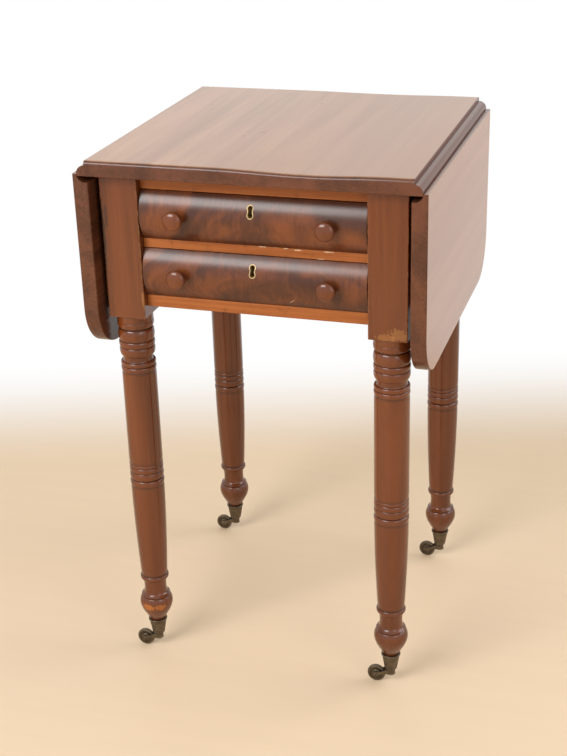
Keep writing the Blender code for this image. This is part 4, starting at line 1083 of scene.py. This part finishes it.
def foot_profile(ankle, vase):
    """Collar, neck, flared ledge and vase, down to the plug in the caster's cup."""
    middle = SOCKET_HIGH.z + VASE_BELOW
    neck_low = middle + VASE_ABOVE
    neck_top = neck_low + FOOT_NECK_LENGTH
    flare_top = neck_low + FLARE_ABOVE
    ledge = middle + LEDGE_HEIGHT
    plug = socket_radius(SOCKET_HIGH.z) - SOCKET_WALL - FIT
    plug_low = SOCKET_LOW.z + SOCKET_FLOOR + PLUG_GAP
    top = neck_top + COLLAR_LENGTH
    points = moulding(top, COLLAR_LENGTH, ankle, COLLAR_RADIUS, ankle - COLLAR_UNDERCUT)
    points.append((ankle - 0.0014, neck_top - 0.0006, 0.5))
    points += shaft(
        neck_top - 0.001, flare_top, ankle - 0.0016, FOOT_NECK_RADIUS, FOOT_NECK_WAIST
    )
    for share in shares(ARC_STEPS, 1):
        radius = part_way(FOOT_NECK_RADIUS, LEDGE_RADIUS, share ** FLARE_POWER)
        points.append((radius, part_way(flare_top, ledge, share), 0))
    points.append((LEDGE_RADIUS, ledge - 0.0008, 0.3))
    points.append((LEDGE_GROOVE, ledge - 0.0013, 1))
    points.append((LEDGE_GROOVE, ledge - 0.0018, 1))
    for share in reversed(shares(ARC_STEPS)):
        fullness = math.cos(math.pi / 2 * share) ** SHOULDER_POWER
        radius = part_way(SHOULDER_RADIUS, vase, fullness)
        points.append((radius, middle + SHOULDER_HEIGHT * share, 0))
    # The vase darkens with painted shade and dirt as it goes down into the cup
    for share in shares(ARC_STEPS, 1):
        radius = part_way(plug, vase, math.cos(math.pi / 2 * share) ** VASE_TAPER)
        points.append((radius, middle - VASE_BELOW * share, share ** VASE_SHADE_AND_DIRT_POWER))
    points.append((socket_radius(plug_low) - SOCKET_WALL - FIT, plug_low, 1))
    points.append((0, plug_low - FLAT_SLOPE, 1))
    return points, top


def leg_profile(corner):
    size = sizes()
    neck = size.neck_radius
    at = POST_BOTTOM - NECK_LENGTH
    # The recess just under the post darkens the wood with painted shade and dirt
    points = [
        (0, POST_BOTTOM + NECK_INSIDE, 0),
        (neck, POST_BOTTOM + NECK_INSIDE - 0.00005, 0.8),
        (neck, POST_BOTTOM - 0.0004, 0.6),
        (neck, POST_BOTTOM - 0.002, 0),
        (neck, at + 0.001, 0),
        (neck - 0.0003, at + 0.0001, 0.4),
    ]
    lip, at = moulding_row(at, [LIP])
    points += [*lip, (QUIRK_RADIUS, at - 0.0002, 1), (QUIRK_RADIUS, at - QUIRK_LENGTH, 1)]
    row, at = moulding_row(at - QUIRK_LENGTH - 0.0001, UPPER_MOULDINGS)
    rings = MIDDLE_RINGS_TOP[corner]
    points += row + shaft(at, rings, size.shaft_radius, size.shaft_radius)[1:-1]
    row, at = moulding_row(rings, MIDDLE_MOULDINGS)
    foot, ankle = foot_profile(size.ankle_radius, size.vase_radius)
    lower = shaft(at, ankle, LOWER_SHAFT_RADIUS, size.ankle_radius, power=LOWER_SHAFT_POWER)
    return points + row + lower[1:-1] + foot


def leg_place(corner):
    centre = middle_of(f"leg_{corner}")
    return Vector((centre.x, centre.y, 0))


class STAND_OT_legs(bpy.types.Operator):
    """Make the four legs, square above and turned below"""

    bl_idname = "stand.legs"
    bl_label = "Legs"

    def execute(self, context):
        finish = finish_of("mahogany")
        half = POST_HALF
        for corner in CORNERS:
            turning = turned("turned_leg", leg_profile(corner), finish, sizes().sides)
            post = block("post", (-half, -half, POST_BOTTOM), (half, half, POST_HIGH.z))
            round_edges(post, sizes().post_arris)
            count = len(post.data.vertices)
            leg = joined(f"worked_leg_{corner}", [post, turning])
            even_normals(leg)
            paint(leg, "wear", lambda vertex: worn_edge(vertex) if vertex.index < count else 0)
            leg.data.transform(Matrix.Translation(leg_place(corner)))
            dress(leg, finish, "carcase", "mahogany", f"leg_{corner}")
        return {"FINISHED"}


# Drawer fronts
KEY_RADIUS = 0.0044
KEY_WAIST = 0.0034
KEY_LENGTH = 0.0172
KEY_BACKING = 0.005  # wood left behind the keyhole
FRONT_ARRIS = 0.0005
FRONT_END = 0.001  # the worn ends of a front are this wide
LET_IN = ("drawer_side_left", "drawer_side_right", "drawer_bottom", "lock_case")


def keyhole_outline(grow):
    radius, waist = KEY_RADIUS + grow, KEY_WAIST + grow
    apart = KEY_LENGTH - 2 * KEY_RADIUS
    upper = arc(0, 0, radius, -40, 220, ARC_STEPS)
    lower = arc(0, -apart, radius, 150, 390, ARC_STEPS)
    return [*upper, (-waist, -apart / 2), *lower, (waist, -apart / 2)]


def keyhole_on(level, grow):
    """The keyhole's outline where it is on the drawer's front."""
    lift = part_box(f"{level}_escutcheon")[1].z - KEY_RADIUS
    return [(across, up + lift) for across, up in keyhole_outline(grow)]


def face_at(level, height, proud=0.0):
    """The y of the cushion face at a height."""
    rise = height - middle_of(f"{level}_drawer_front").z
    return FRONT_LOW.y + FACE_RADIUS - math.sqrt((FACE_RADIUS + proud) ** 2 - rise ** 2)


class STAND_OT_fronts(bpy.types.Operator):
    """Make the cushion fronts of the two drawers"""

    bl_idname = "stand.fronts"
    bl_label = "Drawer Fronts"

    def execute(self, context):
        angle = math.degrees(math.asin(FRONT_HALF_HEIGHT / FACE_RADIUS))
        for level in LEVELS:
            node = f"{level}_drawer_front"
            low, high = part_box(node)
            centre = (low.y + FACE_RADIUS, middle_of(node).z)
            face = arc(*centre, FACE_RADIUS, 180 + angle, 180 - angle, FACE_STEPS)
            outline = [(high.y, high.z), (high.y, low.z), *face]
            front = plate(f"worked_{level}_front", outline, "X", low.x, high.x)
            round_edges(front, FRONT_ARRIS, 2)
            hole = keyhole_on(level, -sizes().ring_wall / 2)
            cutters = [plate("keyhole", hole, "Y", low.y - PAST, high.y - KEY_BACKING)]
            cutters += [node_copy(f"{level}_{name}") for name in LET_IN]
            combine(front, cutters)
            even_normals(front, 25)
            end = high.x - FRONT_END
            paint(front, "wear", lambda v: worn_edge(v) if abs(v.co.x) > end else 0)
            dress(front, finish_of("veneer"), f"{level}_drawer", "flame_veneer", node)
        return {"FINISHED"}


# Knobs
FACE_FORWARD = Matrix.Rotation(math.radians(90), 4, "X")  # turns +Z to -Y
KNOB_DOME_POWER = 0.85
KNOB_RIM = 0.0006
KNOB_ROLL_WIDTH = 0.0015
KNOB_ROLL_DEPTH = 0.0024
KNOB_NECK = 0.0058
KNOB_HOLLOW_STEPS = 14
KNOB_HOLLOW_DEPTH = 0.0035
KNOB_HOLLOW_SLOPE = 0.0003
KNOB_SEAT = (
    (0.0060, 0.0034, 0.8),
    (0.0070, 0.0022, 0.6),
    (0.0074, 0.0014, 0.5),
    (0.0074, -0.0008, 1),
    (0.0040, -0.0009, 1),
    (0.0040, -0.0180, 1),
    (0, -0.0181, 1),
)


def knob_profile():
    """Dome, rolled rim, hollow neck, seat and tenon, from the tip back."""
    radius, crown = sizes().knob_radius, sizes().knob_crown
    tip = FRONT_LOW.y - KNOB_TIP
    rim = tip - crown
    points = [(0, tip, 0)]
    for share in shares(ARC_STEPS, 1):
        angle = math.pi / 2 * share
        rise = crown * math.cos(angle) ** KNOB_DOME_POWER
        points.append((radius * math.sin(angle), rim + rise, 0))
    rim -= KNOB_RIM
    points.append((radius, rim, 0))
    for share in shares(ROLL_STEPS, 1):
        angle = math.pi / 2 * share
        inwards = KNOB_ROLL_WIDTH * (1 - math.cos(angle))
        points.append((radius - inwards, rim - KNOB_ROLL_DEPTH * math.sin(angle), 0.1))
    start, height, _ = points[-1]
    # The hollow neck under the rim darkens with painted shade and dirt through its recess
    for share in shares(KNOB_HOLLOW_STEPS, 1):
        hollow = part_way(start, KNOB_NECK, math.sin(math.pi / 2 * share))
        drop = KNOB_HOLLOW_DEPTH * share ** 2 + KNOB_HOLLOW_SLOPE * share
        points.append((hollow, height - drop, 0.4 + 0.4 * share))
    return [*points, *KNOB_SEAT]


class STAND_OT_knobs(bpy.types.Operator):
    """Make the four turned drawer knobs"""

    bl_idname = "stand.knobs"
    bl_label = "Knobs"

    def execute(self, context):
        finish = finish_of("mahogany")
        for level in LEVELS:
            for side, _ in SIDES:
                node = f"{level}_knob_{side}"
                centre = middle_of(node)
                place = Matrix.Translation((centre.x, FRONT_LOW.y, centre.z)) @ FACE_FORWARD
                knob = turned(f"worked_{node}", knob_profile(), finish, SMALL_SIDES)
                set_turning(knob, place, finish, f"{level}_drawer", "mahogany", node)
        return {"FINISHED"}


# Keyhole rings
RING_CROWN = 0.0005
RING_BANDS = 6
RING_START = 0.12  # share of a half turn at which the rounded face begins and ends
RING_OUTER_DEPTH = 0.0030
RING_INNER_DEPTH = 0.0060


def ring_section():
    """The ring's section: how far in from its outer edge, and how far proud of the face."""
    crest = []
    for share in shares(RING_BANDS):
        turn = math.pi * part_way(RING_START, 1 - RING_START, share)
        crest.append((share, RING_CROWN * math.sin(turn)))
    return [(0, -RING_OUTER_DEPTH), *crest, (1, -RING_INNER_DEPTH)]


class STAND_OT_keyholes(bpy.types.Operator):
    """Make the thin brass rings let into the drawer fronts round the keyholes"""

    bl_idname = "stand.keyholes"
    bl_label = "Keyhole Rings"

    def execute(self, context):
        for level in LEVELS:
            bm = bmesh.new()
            loops = []
            for share, proud in ring_section():
                outline = keyhole_on(level, -sizes().ring_wall * share)
                loops.append([bm.verts.new((x, face_at(level, z, proud), z)) for x, z in outline])
            bridge(bm, loops + loops[:1])
            bmesh.ops.recalc_face_normals(bm, faces=bm.faces)
            ring = from_bmesh(f"worked_{level}_keyhole_ring", bm)
            even_normals(ring, 50)
            dress(ring, finish_of("brass"), f"{level}_drawer", "brass", f"{level}_escutcheon")
        return {"FINISHED"}


# Casters
CUP_LIP = 0.0006
CUP_LIP_HEIGHT = 0.0025
CUP_GROOVE = 0.0003
HUB_RADIUS = 0.0056
TREAD_ROUND = 0.0017
TREAD_INSET = 0.0010
HORN_BOSS_RADIUS = 0.0060
HORN_BOSS_RISE = 0.0025
HORN_END_RADIUS = 0.0043
HORN_CHEEK = 0.0022
HORN_ARRIS = 0.0006
HORN_BELLY = 0.0010
HORN_CROOK_POWER = 0.7
SWIVEL_HEAD_RADIUS = 0.0045
SWIVEL_HEAD_HEIGHT = 0.0014
RIVET_PROFILE = (
    (0, 0.0008, 0),
    (0.0010, 0.00074, 0),
    (0.0019, 0.0005, 0),
    (0.0026, 0.0001, 0.5),
    (0.0027, -0.0004, 1),
    (0, -0.00042, 1),
)


def socket_profile():
    top, low = SOCKET_HIGH.z, SOCKET_LOW.z
    lip = SOCKET_TOP_RADIUS + CUP_LIP
    rim = top - CUP_LIP_HEIGHT
    floor = low + SOCKET_FLOOR
    return [
        (lip - 0.0004, top, 0),
        (lip, top - 0.0004, 0),
        (lip, rim + 0.0004, 0),
        (lip - 0.0003, rim, 0.4),
        (socket_radius(rim), rim - 0.0005, 1),
        (socket_radius(rim - 0.002), rim - 0.002, 0),
        (socket_radius(low + 0.004), low + 0.004, 0),
        (socket_radius(low + 0.0036) - CUP_GROOVE, low + 0.0036, 0.8),
        (socket_radius(low + 0.0030) - CUP_GROOVE, low + 0.0030, 0.8),
        (socket_radius(low + 0.0026), low + 0.0026, 0),
        (socket_radius(low + 0.0006), low + 0.0006, 0),
        (socket_radius(low) - 0.0006, low, 0.5),
        (SWIVEL_BORE, low, 1),
        (SWIVEL_BORE, floor, 1),
        (socket_radius(floor) - SOCKET_WALL, floor, 1),
        (socket_radius(top) - SOCKET_WALL, top, 0.6),
    ]


def wheel_profile():
    half, radius = WHEEL_HALF, WHEEL_RADIUS
    tread = []
    for share in shares(ROLL_STEPS)[:-1]:
        angle = math.pi / 2 * share
        inwards = TREAD_ROUND * (1 - math.cos(angle))
        tread.append((radius - inwards, (half - TREAD_INSET) * math.sin(angle), 0))
    upper = [
        (AXLE_BORE, half, 1),
        (HUB_RADIUS - 0.0004, half, 0),
        (HUB_RADIUS, half - 0.0003, 0),
        (HUB_RADIUS + 0.0006, half - 0.0012, 1),
        (radius - 0.0030, half - 0.0013, 0.5),
        (radius - 0.0020, half - 0.0010, 0),
        *reversed(tread),
    ]
    return upper + [(r, -height, recess) for r, height, recess in reversed(upper[:-1])]


def horn_boss_profile(axle_height):
    """Swivel pin with its head in the cup, then the boss of the fork."""
    head, neck = HORN_TOP, HORN_TOP - SWIVEL_HEAD_HEIGHT
    top = SOCKET_LOW.z - FIT
    low = axle_height + HORN_BOSS_RISE
    radius = HORN_BOSS_RADIUS
    return [
        (0, head, 1),
        (SWIVEL_HEAD_RADIUS, head - FLAT_SLOPE, 1),
        (SWIVEL_HEAD_RADIUS, neck, 1),
        (SWIVEL_RADIUS, neck - FLAT_SLOPE, 1),
        (SWIVEL_RADIUS, top + FLAT_SLOPE, 1),
        (radius + 0.0010, top, 0.6),
        (radius + 0.0010, top - 0.0012, 0),
        (radius + 0.0002, top - 0.0020, 0.7),
        (radius, top - 0.0030, 0.2),
        (radius, low + 0.0014, 0),
        (radius + 0.0004, low + 0.0009, 0),
        (radius + 0.0004, low + 0.0003, 0),
        (radius - 0.0002, low + FLAT_SLOPE, 0.3),
        (0, low, 0.3),
    ]


def cheek_outline(trail, axle_height):
    """One side of the fork, from the boss to the axle, in the XZ plane."""
    low = axle_height + HORN_BOSS_RISE + 0.0004
    top = SOCKET_LOW.z - FIT - 0.0022
    shoulder = -HORN_BOSS_RADIUS - 0.0002
    end = arc(-trail, axle_height, HORN_END_RADIUS, 62, 270, 18)
    (first_x, first_z), (last_x, last_z) = end[0], end[-1]
    crook = [
        (part_way(shoulder, first_x, share), part_way(top, first_z, share ** HORN_CROOK_POWER))
        for share in shares(10, 1)[:-1]
    ]
    belly = []
    for share in shares(8, 1)[:-1]:
        rise = HORN_BELLY * math.sin(math.pi * share)
        across = part_way(last_x, -HORN_BOSS_RADIUS, share)
        belly.append((across, part_way(last_z, low, share) + rise))
    return [(-HORN_BOSS_RADIUS, low), (0, low), (0, top), (shoulder, top), *crook, *end, *belly]


def horn_shells(trail, axle_height):
    """The boss, two cheeks with their rivets, and the axle, round the swivel's centre."""
    finish = finish_of("bronze")
    inner = WHEEL_HALF + FIT
    outer = inner + HORN_CHEEK
    shells = [turned("boss", horn_boss_profile(axle_height), finish, BOSS_SIDES)]
    for _, sign in SIDES:
        faces = sorted((sign * inner, sign * outer))
        cheek = plate("cheek", cheek_outline(trail, axle_height), "Y", *faces)
        shells.append(round_edges(cheek, HORN_ARRIS, 2, 50))
        rivet = turned("rivet", RIVET_PROFILE, finish, SCREW_SIDES)
        facing = Matrix.Rotation(math.radians(-90 * sign), 4, "X")
        rivet.data.transform(Matrix.Translation((-trail, sign * outer, axle_height)) @ facing)
        shells.append(rivet)
    axle = arc(-trail, axle_height, AXLE_RADIUS, 0, 337.5, 15)
    shells.append(plate("axle", axle, "Y", -inner - FIT, inner + FIT))
    return shells


class STAND_OT_casters(bpy.types.Operator):
    """Make the four socket casters: cup, fork and wheel"""

    bl_idname = "stand.casters"
    bl_label = "Casters"

    def execute(self, context):
        finish = finish_of("bronze")
        for corner in CORNERS:
            centre = leg_place(corner)
            axle = middle_of(f"caster_wheel_{corner}")
            upright = Matrix.Translation(centre)
            on_edge = Matrix.Translation(axle) @ FACE_FORWARD
            cup = turned(f"worked_socket_{corner}", socket_profile(), finish, SMALL_SIDES, True)
            horn = joined(f"worked_horn_{corner}", horn_shells(centre.x - axle.x, axle.z))
            wheel = turned(f"worked_wheel_{corner}", wheel_profile(), finish, SMALL_SIDES, True)
            for piece, place, body, kind in (
                (cup, upright, "carcase", "socket"),
                (horn, upright, f"{corner}_caster", "horn"),
                (wheel, on_edge, f"{corner}_wheel", "wheel"),
            ):
                set_turning(piece, place, finish, body, "dark_brass", f"caster_{kind}_{corner}")
        return {"FINISHED"}


# Rails, panels and inner boards
def board_plan():
    """Each board's node, finish, body and slot."""
    rails = ("front_top_rail", "drawer_divider_rail", "front_bottom_rail")
    plan = [(name, "cherry", "carcase", "cherry") for name in rails]
    plan.append(("back_panel", "poplar_x", "carcase", "poplar"))
    for side, _ in SIDES:
        plan.append((f"side_panel_{side}", "fade_and_sheen", "carcase", "mahogany"))
        plan.append((f"leaf_bracket_{side}", "poplar_y", f"{side}_bracket", "poplar"))
        for level in LEVELS:
            plan.append((f"{level}_runner_{side}", "poplar_y", "carcase", "poplar"))
            plan.append((f"{level}_drawer_side_{side}", "poplar_y", f"{level}_drawer", "poplar"))
    for level in LEVELS:
        for board in ("drawer_back", "drawer_bottom"):
            plan.append((f"{level}_{board}", "poplar_x", f"{level}_drawer", "poplar"))
    return plan


class STAND_OT_boards(bpy.types.Operator):
    """Soften the edges of the rails, panels and drawer boards"""

    bl_idname = "stand.boards"
    bl_label = "Rails and Boards"

    def execute(self, context):
        for node, finish, body, slot in board_plan():
            board = node_copy(node)
            round_edges(board, sizes().board_arris, 2, 50)
            even_normals(board, 50)
            paint(board, "wear", worn_edge)
            dress(board, finish_of(finish), body, slot, node)
        return {"FINISHED"}


# Hinges, locks and their screws: (along or across, away from the pin or down) for each screw
HINGE_SCREWS = ((-0.0115, 0.011), (0.0115, 0.011), (0.0, 0.026))
LOCK_SCREWS = ((-0.018, -0.007), (0.018, -0.007), (-0.018, -0.029), (0.018, -0.029))
SCREW_HALF_HEIGHT = 0.0004


def screw_points(name, places):
    """A cloud of points for the screw tree: (place, facing, turn) each."""
    mesh = bpy.data.meshes.new(name)
    mesh.from_pydata([place for place, _, _ in places], [], [])
    facing = mesh.attributes.new("facing", "FLOAT_VECTOR", "POINT")
    facing.data.foreach_set("vector", [n for _, direction, _ in places for n in direction])
    turn = mesh.attributes.new("turn", "FLOAT", "POINT")
    turn.data.foreach_set("value", [angle for _, _, angle in places])
    return link(name, mesh)


def screw_plan():
    """The screws of each body, each turned by another angle."""
    sink = SCREW_HALF_HEIGHT - sizes().screw_proud
    plan = {}
    for side, sign, end, (low, high) in hinge_places():
        middle = (low.y + high.y) / 2
        for i, (along, away) in enumerate(HINGE_SCREWS):
            turn = 0.6 * i + 0.9 * (end == "rear") + 0.4 * sign
            under = (sign * (PIN.x - away), middle + along, TOP_LOW.z + sink)
            plan.setdefault("carcase", []).append((under, (0, 0, -1), turn))
            inner = (sign * (LEAF_LOW.x + sink), middle + along, PIN.z - away)
            plan.setdefault(f"{side}_leaf", []).append((inner, (-sign, 0, 0), turn + 1.1))
    for level in LEVELS:
        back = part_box(f"{level}_lock_case")[1]
        for i, (across, down) in enumerate(LOCK_SCREWS):
            place = (across, back.y - sink, back.z + down)
            plan.setdefault(f"{level}_drawer", []).append((place, (0, 1, 0), 0.7 * i))
    return plan


class STAND_OT_fittings(bpy.types.Operator):
    """Finish the hinges and locks and set their screws"""

    bl_idname = "stand.fittings"
    bl_label = "Hinges, Locks and Screws"

    def execute(self, context):
        for name, node in frame["nodes"].items():
            kind = "iron" if name.startswith("hinge") else "brass" if "_lock_" in name else None
            if kind:
                node.data.materials.clear()
                node.data.materials.append(finish_of(kind))
        for body, places in screw_plan().items():
            kind = "brass" if body.endswith("drawer") else "iron"
            screws = screw_points(f"screws_{body}", places)
            values = {"Head Radius": sizes().screw_radius, "Finish": finish_of(kind)}
            run_tree(screws, tree_named("slotted_screws"), values)
            dress(screws, finish_of(kind), body, kind)
        return {"FINISHED"}


# Stage
CAMERA_PLACE = Vector((0.5309, -1.7391, 1.1761))
CAMERA_AZIMUTH = 17.76
CAMERA_ELEVATION = 23.94
CAMERA_ROLL = -1.72
FOCAL_PIXELS = 1402
IMAGE_HEIGHT = 756
SENSOR = 36.0
LAMP_TARGET = Vector((0, 0, 0.45))
# (name, azimuth, elevation, distance, size, watts)
LAMPS = (
    ("left_window", -25.5, 33, 2.4, (1.14, 0.70), 19.0),
    ("left_sky", -22, 35, 2.5, (1.50, 1.50), 13.0),
    ("low_fill", -36, 6, 2.8, (1.80, 1.00), 13.0),
    ("right_window", 48, 20, 2.4, (1.00, 1.2), 7.0),
    ("right_panel", 110, 28, 2.4, (1.8, 1.4), 22.0),
    ("back_panel", 196, 26, 2.6, (3.0, 1.4), 6.0),
)
MATT_LAMPS = ("low_fill",)  # no piece mirrors these
WHITE = (1, 1, 1, 1)
ROOM_LIGHT = (1.0, 0.985, 0.965, 1)
ROOM_STRENGTH = 0.48
FLOOR_REACH = 6.0
FLOOR_THICKNESS = 0.02
FADE_BEHIND = (0.45, 0.95)  # the floor turns white over these distances behind the stand
FADE_ROUND = (2.2, 3.4)  # and over these all round


def direction(azimuth, elevation):
    a, e = math.radians(azimuth), math.radians(elevation)
    return Vector((math.sin(a) * math.cos(e), -math.cos(a) * math.cos(e), math.sin(e)))


def seen_ray(tree):
    """1 for what is seen, directly or mirrored, and 0 for the light that falls on things."""
    path = tree_node(tree, "ShaderNodeLightPath").outputs
    seen = tree_math(tree, "MAXIMUM", path["Is Camera Ray"], path["Is Glossy Ray"])
    return tree_math(tree, "MAXIMUM", seen, path["Is Transmission Ray"])


def studio_world():
    world = bpy.data.worlds.new("studio")
    world.use_nodes = True
    tree = world.node_tree
    tree.nodes.clear()
    background = "ShaderNodeBackground"
    light = tree_node(tree, background, {"Color": ROOM_LIGHT, "Strength": ROOM_STRENGTH})
    white = tree_node(tree, background, {"Color": WHITE, "Strength": 1.0})
    values = {0: seen_ray(tree), 1: light.outputs[0], 2: white.outputs[0]}
    mixed = tree_node(tree, "ShaderNodeMixShader", values).outputs[0]
    tree_node(tree, "ShaderNodeOutputWorld", {"Surface": mixed})
    return world


def studio_floor():
    shade = colours().floor
    finish = Finish("floor", Roughness=0.6)
    behind = -direction(CAMERA_AZIMUTH, 0)
    away = finish.vector_math("DOT_PRODUCT", finish.place, behind, "Value")
    far = finish.vector_math("LENGTH", finish.place, output="Value")
    outside = finish.between(far, *FADE_ROUND)
    pale = finish.math("MAXIMUM", finish.between(away, *FADE_BEHIND), outside)
    fade = finish.math("MULTIPLY", pale, seen_ray(finish.tree))
    grain = finish.noise((3, 40, 1), 3.0)
    base = finish.shaded(shade, toned(shade, 0.93), grain, 0.3, 0.7, 0.25)
    finish.tree.links.new(base, finish.shader.inputs["Base Color"])
    white = finish.node("ShaderNodeEmission", {"Color": WHITE, "Strength": 1.0})
    values = {0: fade, 1: finish.shader.outputs[0], 2: white.outputs[0]}
    mixed = finish.node("ShaderNodeMixShader", values).outputs[0]
    finish.tree.links.new(mixed, finish.tree.nodes["Material Output"].inputs["Surface"])
    return finish.material


def set_lamp(name, azimuth, elevation, away, size, watts):
    lamp = bpy.data.lights.new(name, "AREA")
    lamp.shape = "RECTANGLE"
    lamp.size, lamp.size_y = size
    lamp.energy = watts
    toward = direction(azimuth, elevation)
    holder = link(name, lamp)
    holder.location = LAMP_TARGET + toward * away
    holder.rotation_euler = toward.to_track_quat("Z", "Y").to_euler()
    holder.visible_camera = False
    holder.visible_glossy = name not in MATT_LAMPS


def set_camera(scene):
    back = direction(CAMERA_AZIMUTH, CAMERA_ELEVATION)
    turn, roll = math.radians(CAMERA_AZIMUTH), math.radians(CAMERA_ROLL)
    level = Vector((math.cos(turn), math.sin(turn), 0))
    upright = back.cross(level)
    right = level * math.cos(roll) + upright * math.sin(roll)
    up = upright * math.cos(roll) - level * math.sin(roll)
    lens = bpy.data.cameras.new("camera")
    lens.sensor_width = SENSOR
    lens.lens = FOCAL_PIXELS * SENSOR / IMAGE_HEIGHT
    camera = link("camera", lens)
    facing = Matrix((right, up, back)).transposed().to_4x4()
    camera.matrix_world = Matrix.Translation(CAMERA_PLACE) @ facing
    scene.camera = camera


class STAND_OT_stage(bpy.types.Operator):
    """Set the floor, the lights and the camera"""

    bl_idname = "stand.stage"
    bl_label = "Stage"

    def execute(self, context):
        scene = context.scene
        scene.view_settings.view_transform = "Standard"
        scene.world = studio_world()
        reach = FLOOR_REACH
        floor = block("floor", (-reach, -reach, -FLOOR_THICKNESS), (reach, reach, 0))
        floor.data.materials.append(studio_floor())
        for lamp in LAMPS:
            set_lamp(*lamp)
        set_camera(scene)
        return {"FINISHED"}


OPERATORS = (
    STAND_OT_stage,
    STAND_OT_top,
    STAND_OT_leaves,
    STAND_OT_legs,
    STAND_OT_boards,
    STAND_OT_fronts,
    STAND_OT_knobs,
    STAND_OT_keyholes,
    STAND_OT_casters,
    STAND_OT_fittings,
)


class STAND_PT_panel(bpy.types.Panel):
    """Sizes, colours and pieces of the stand"""

    bl_idname = "STAND_PT_panel"
    bl_label = "Sewing Stand"
    bl_space_type = "VIEW_3D"
    bl_region_type = "UI"
    bl_category = "Stand"

    def draw(self, context):
        column = self.layout.column(align=True)
        for operator in OPERATORS:
            column.operator(operator.bl_idname)
        for group in (context.scene.stand_sizes, context.scene.stand_colours):
            box = self.layout.box()
            for name in group.__annotations__:
                box.prop(group, name)


CLASSES = (StandSizes, StandColours, *OPERATORS, STAND_PT_panel)


def register():
    for made in CLASSES:
        bpy.utils.register_class(made)
    bpy.types.Scene.stand_sizes = PointerProperty(type=StandSizes)
    bpy.types.Scene.stand_colours = PointerProperty(type=StandColours)


def unregister():
    del bpy.types.Scene.stand_colours
    del bpy.types.Scene.stand_sizes
    for made in reversed(CLASSES):
        bpy.utils.unregister_class(made)


def main():
    register()
    for operator in OPERATORS:
        group, name = operator.bl_idname.split(".")
        getattr(getattr(bpy.ops, group), name)()


if __name__ == "__main__":
    main()
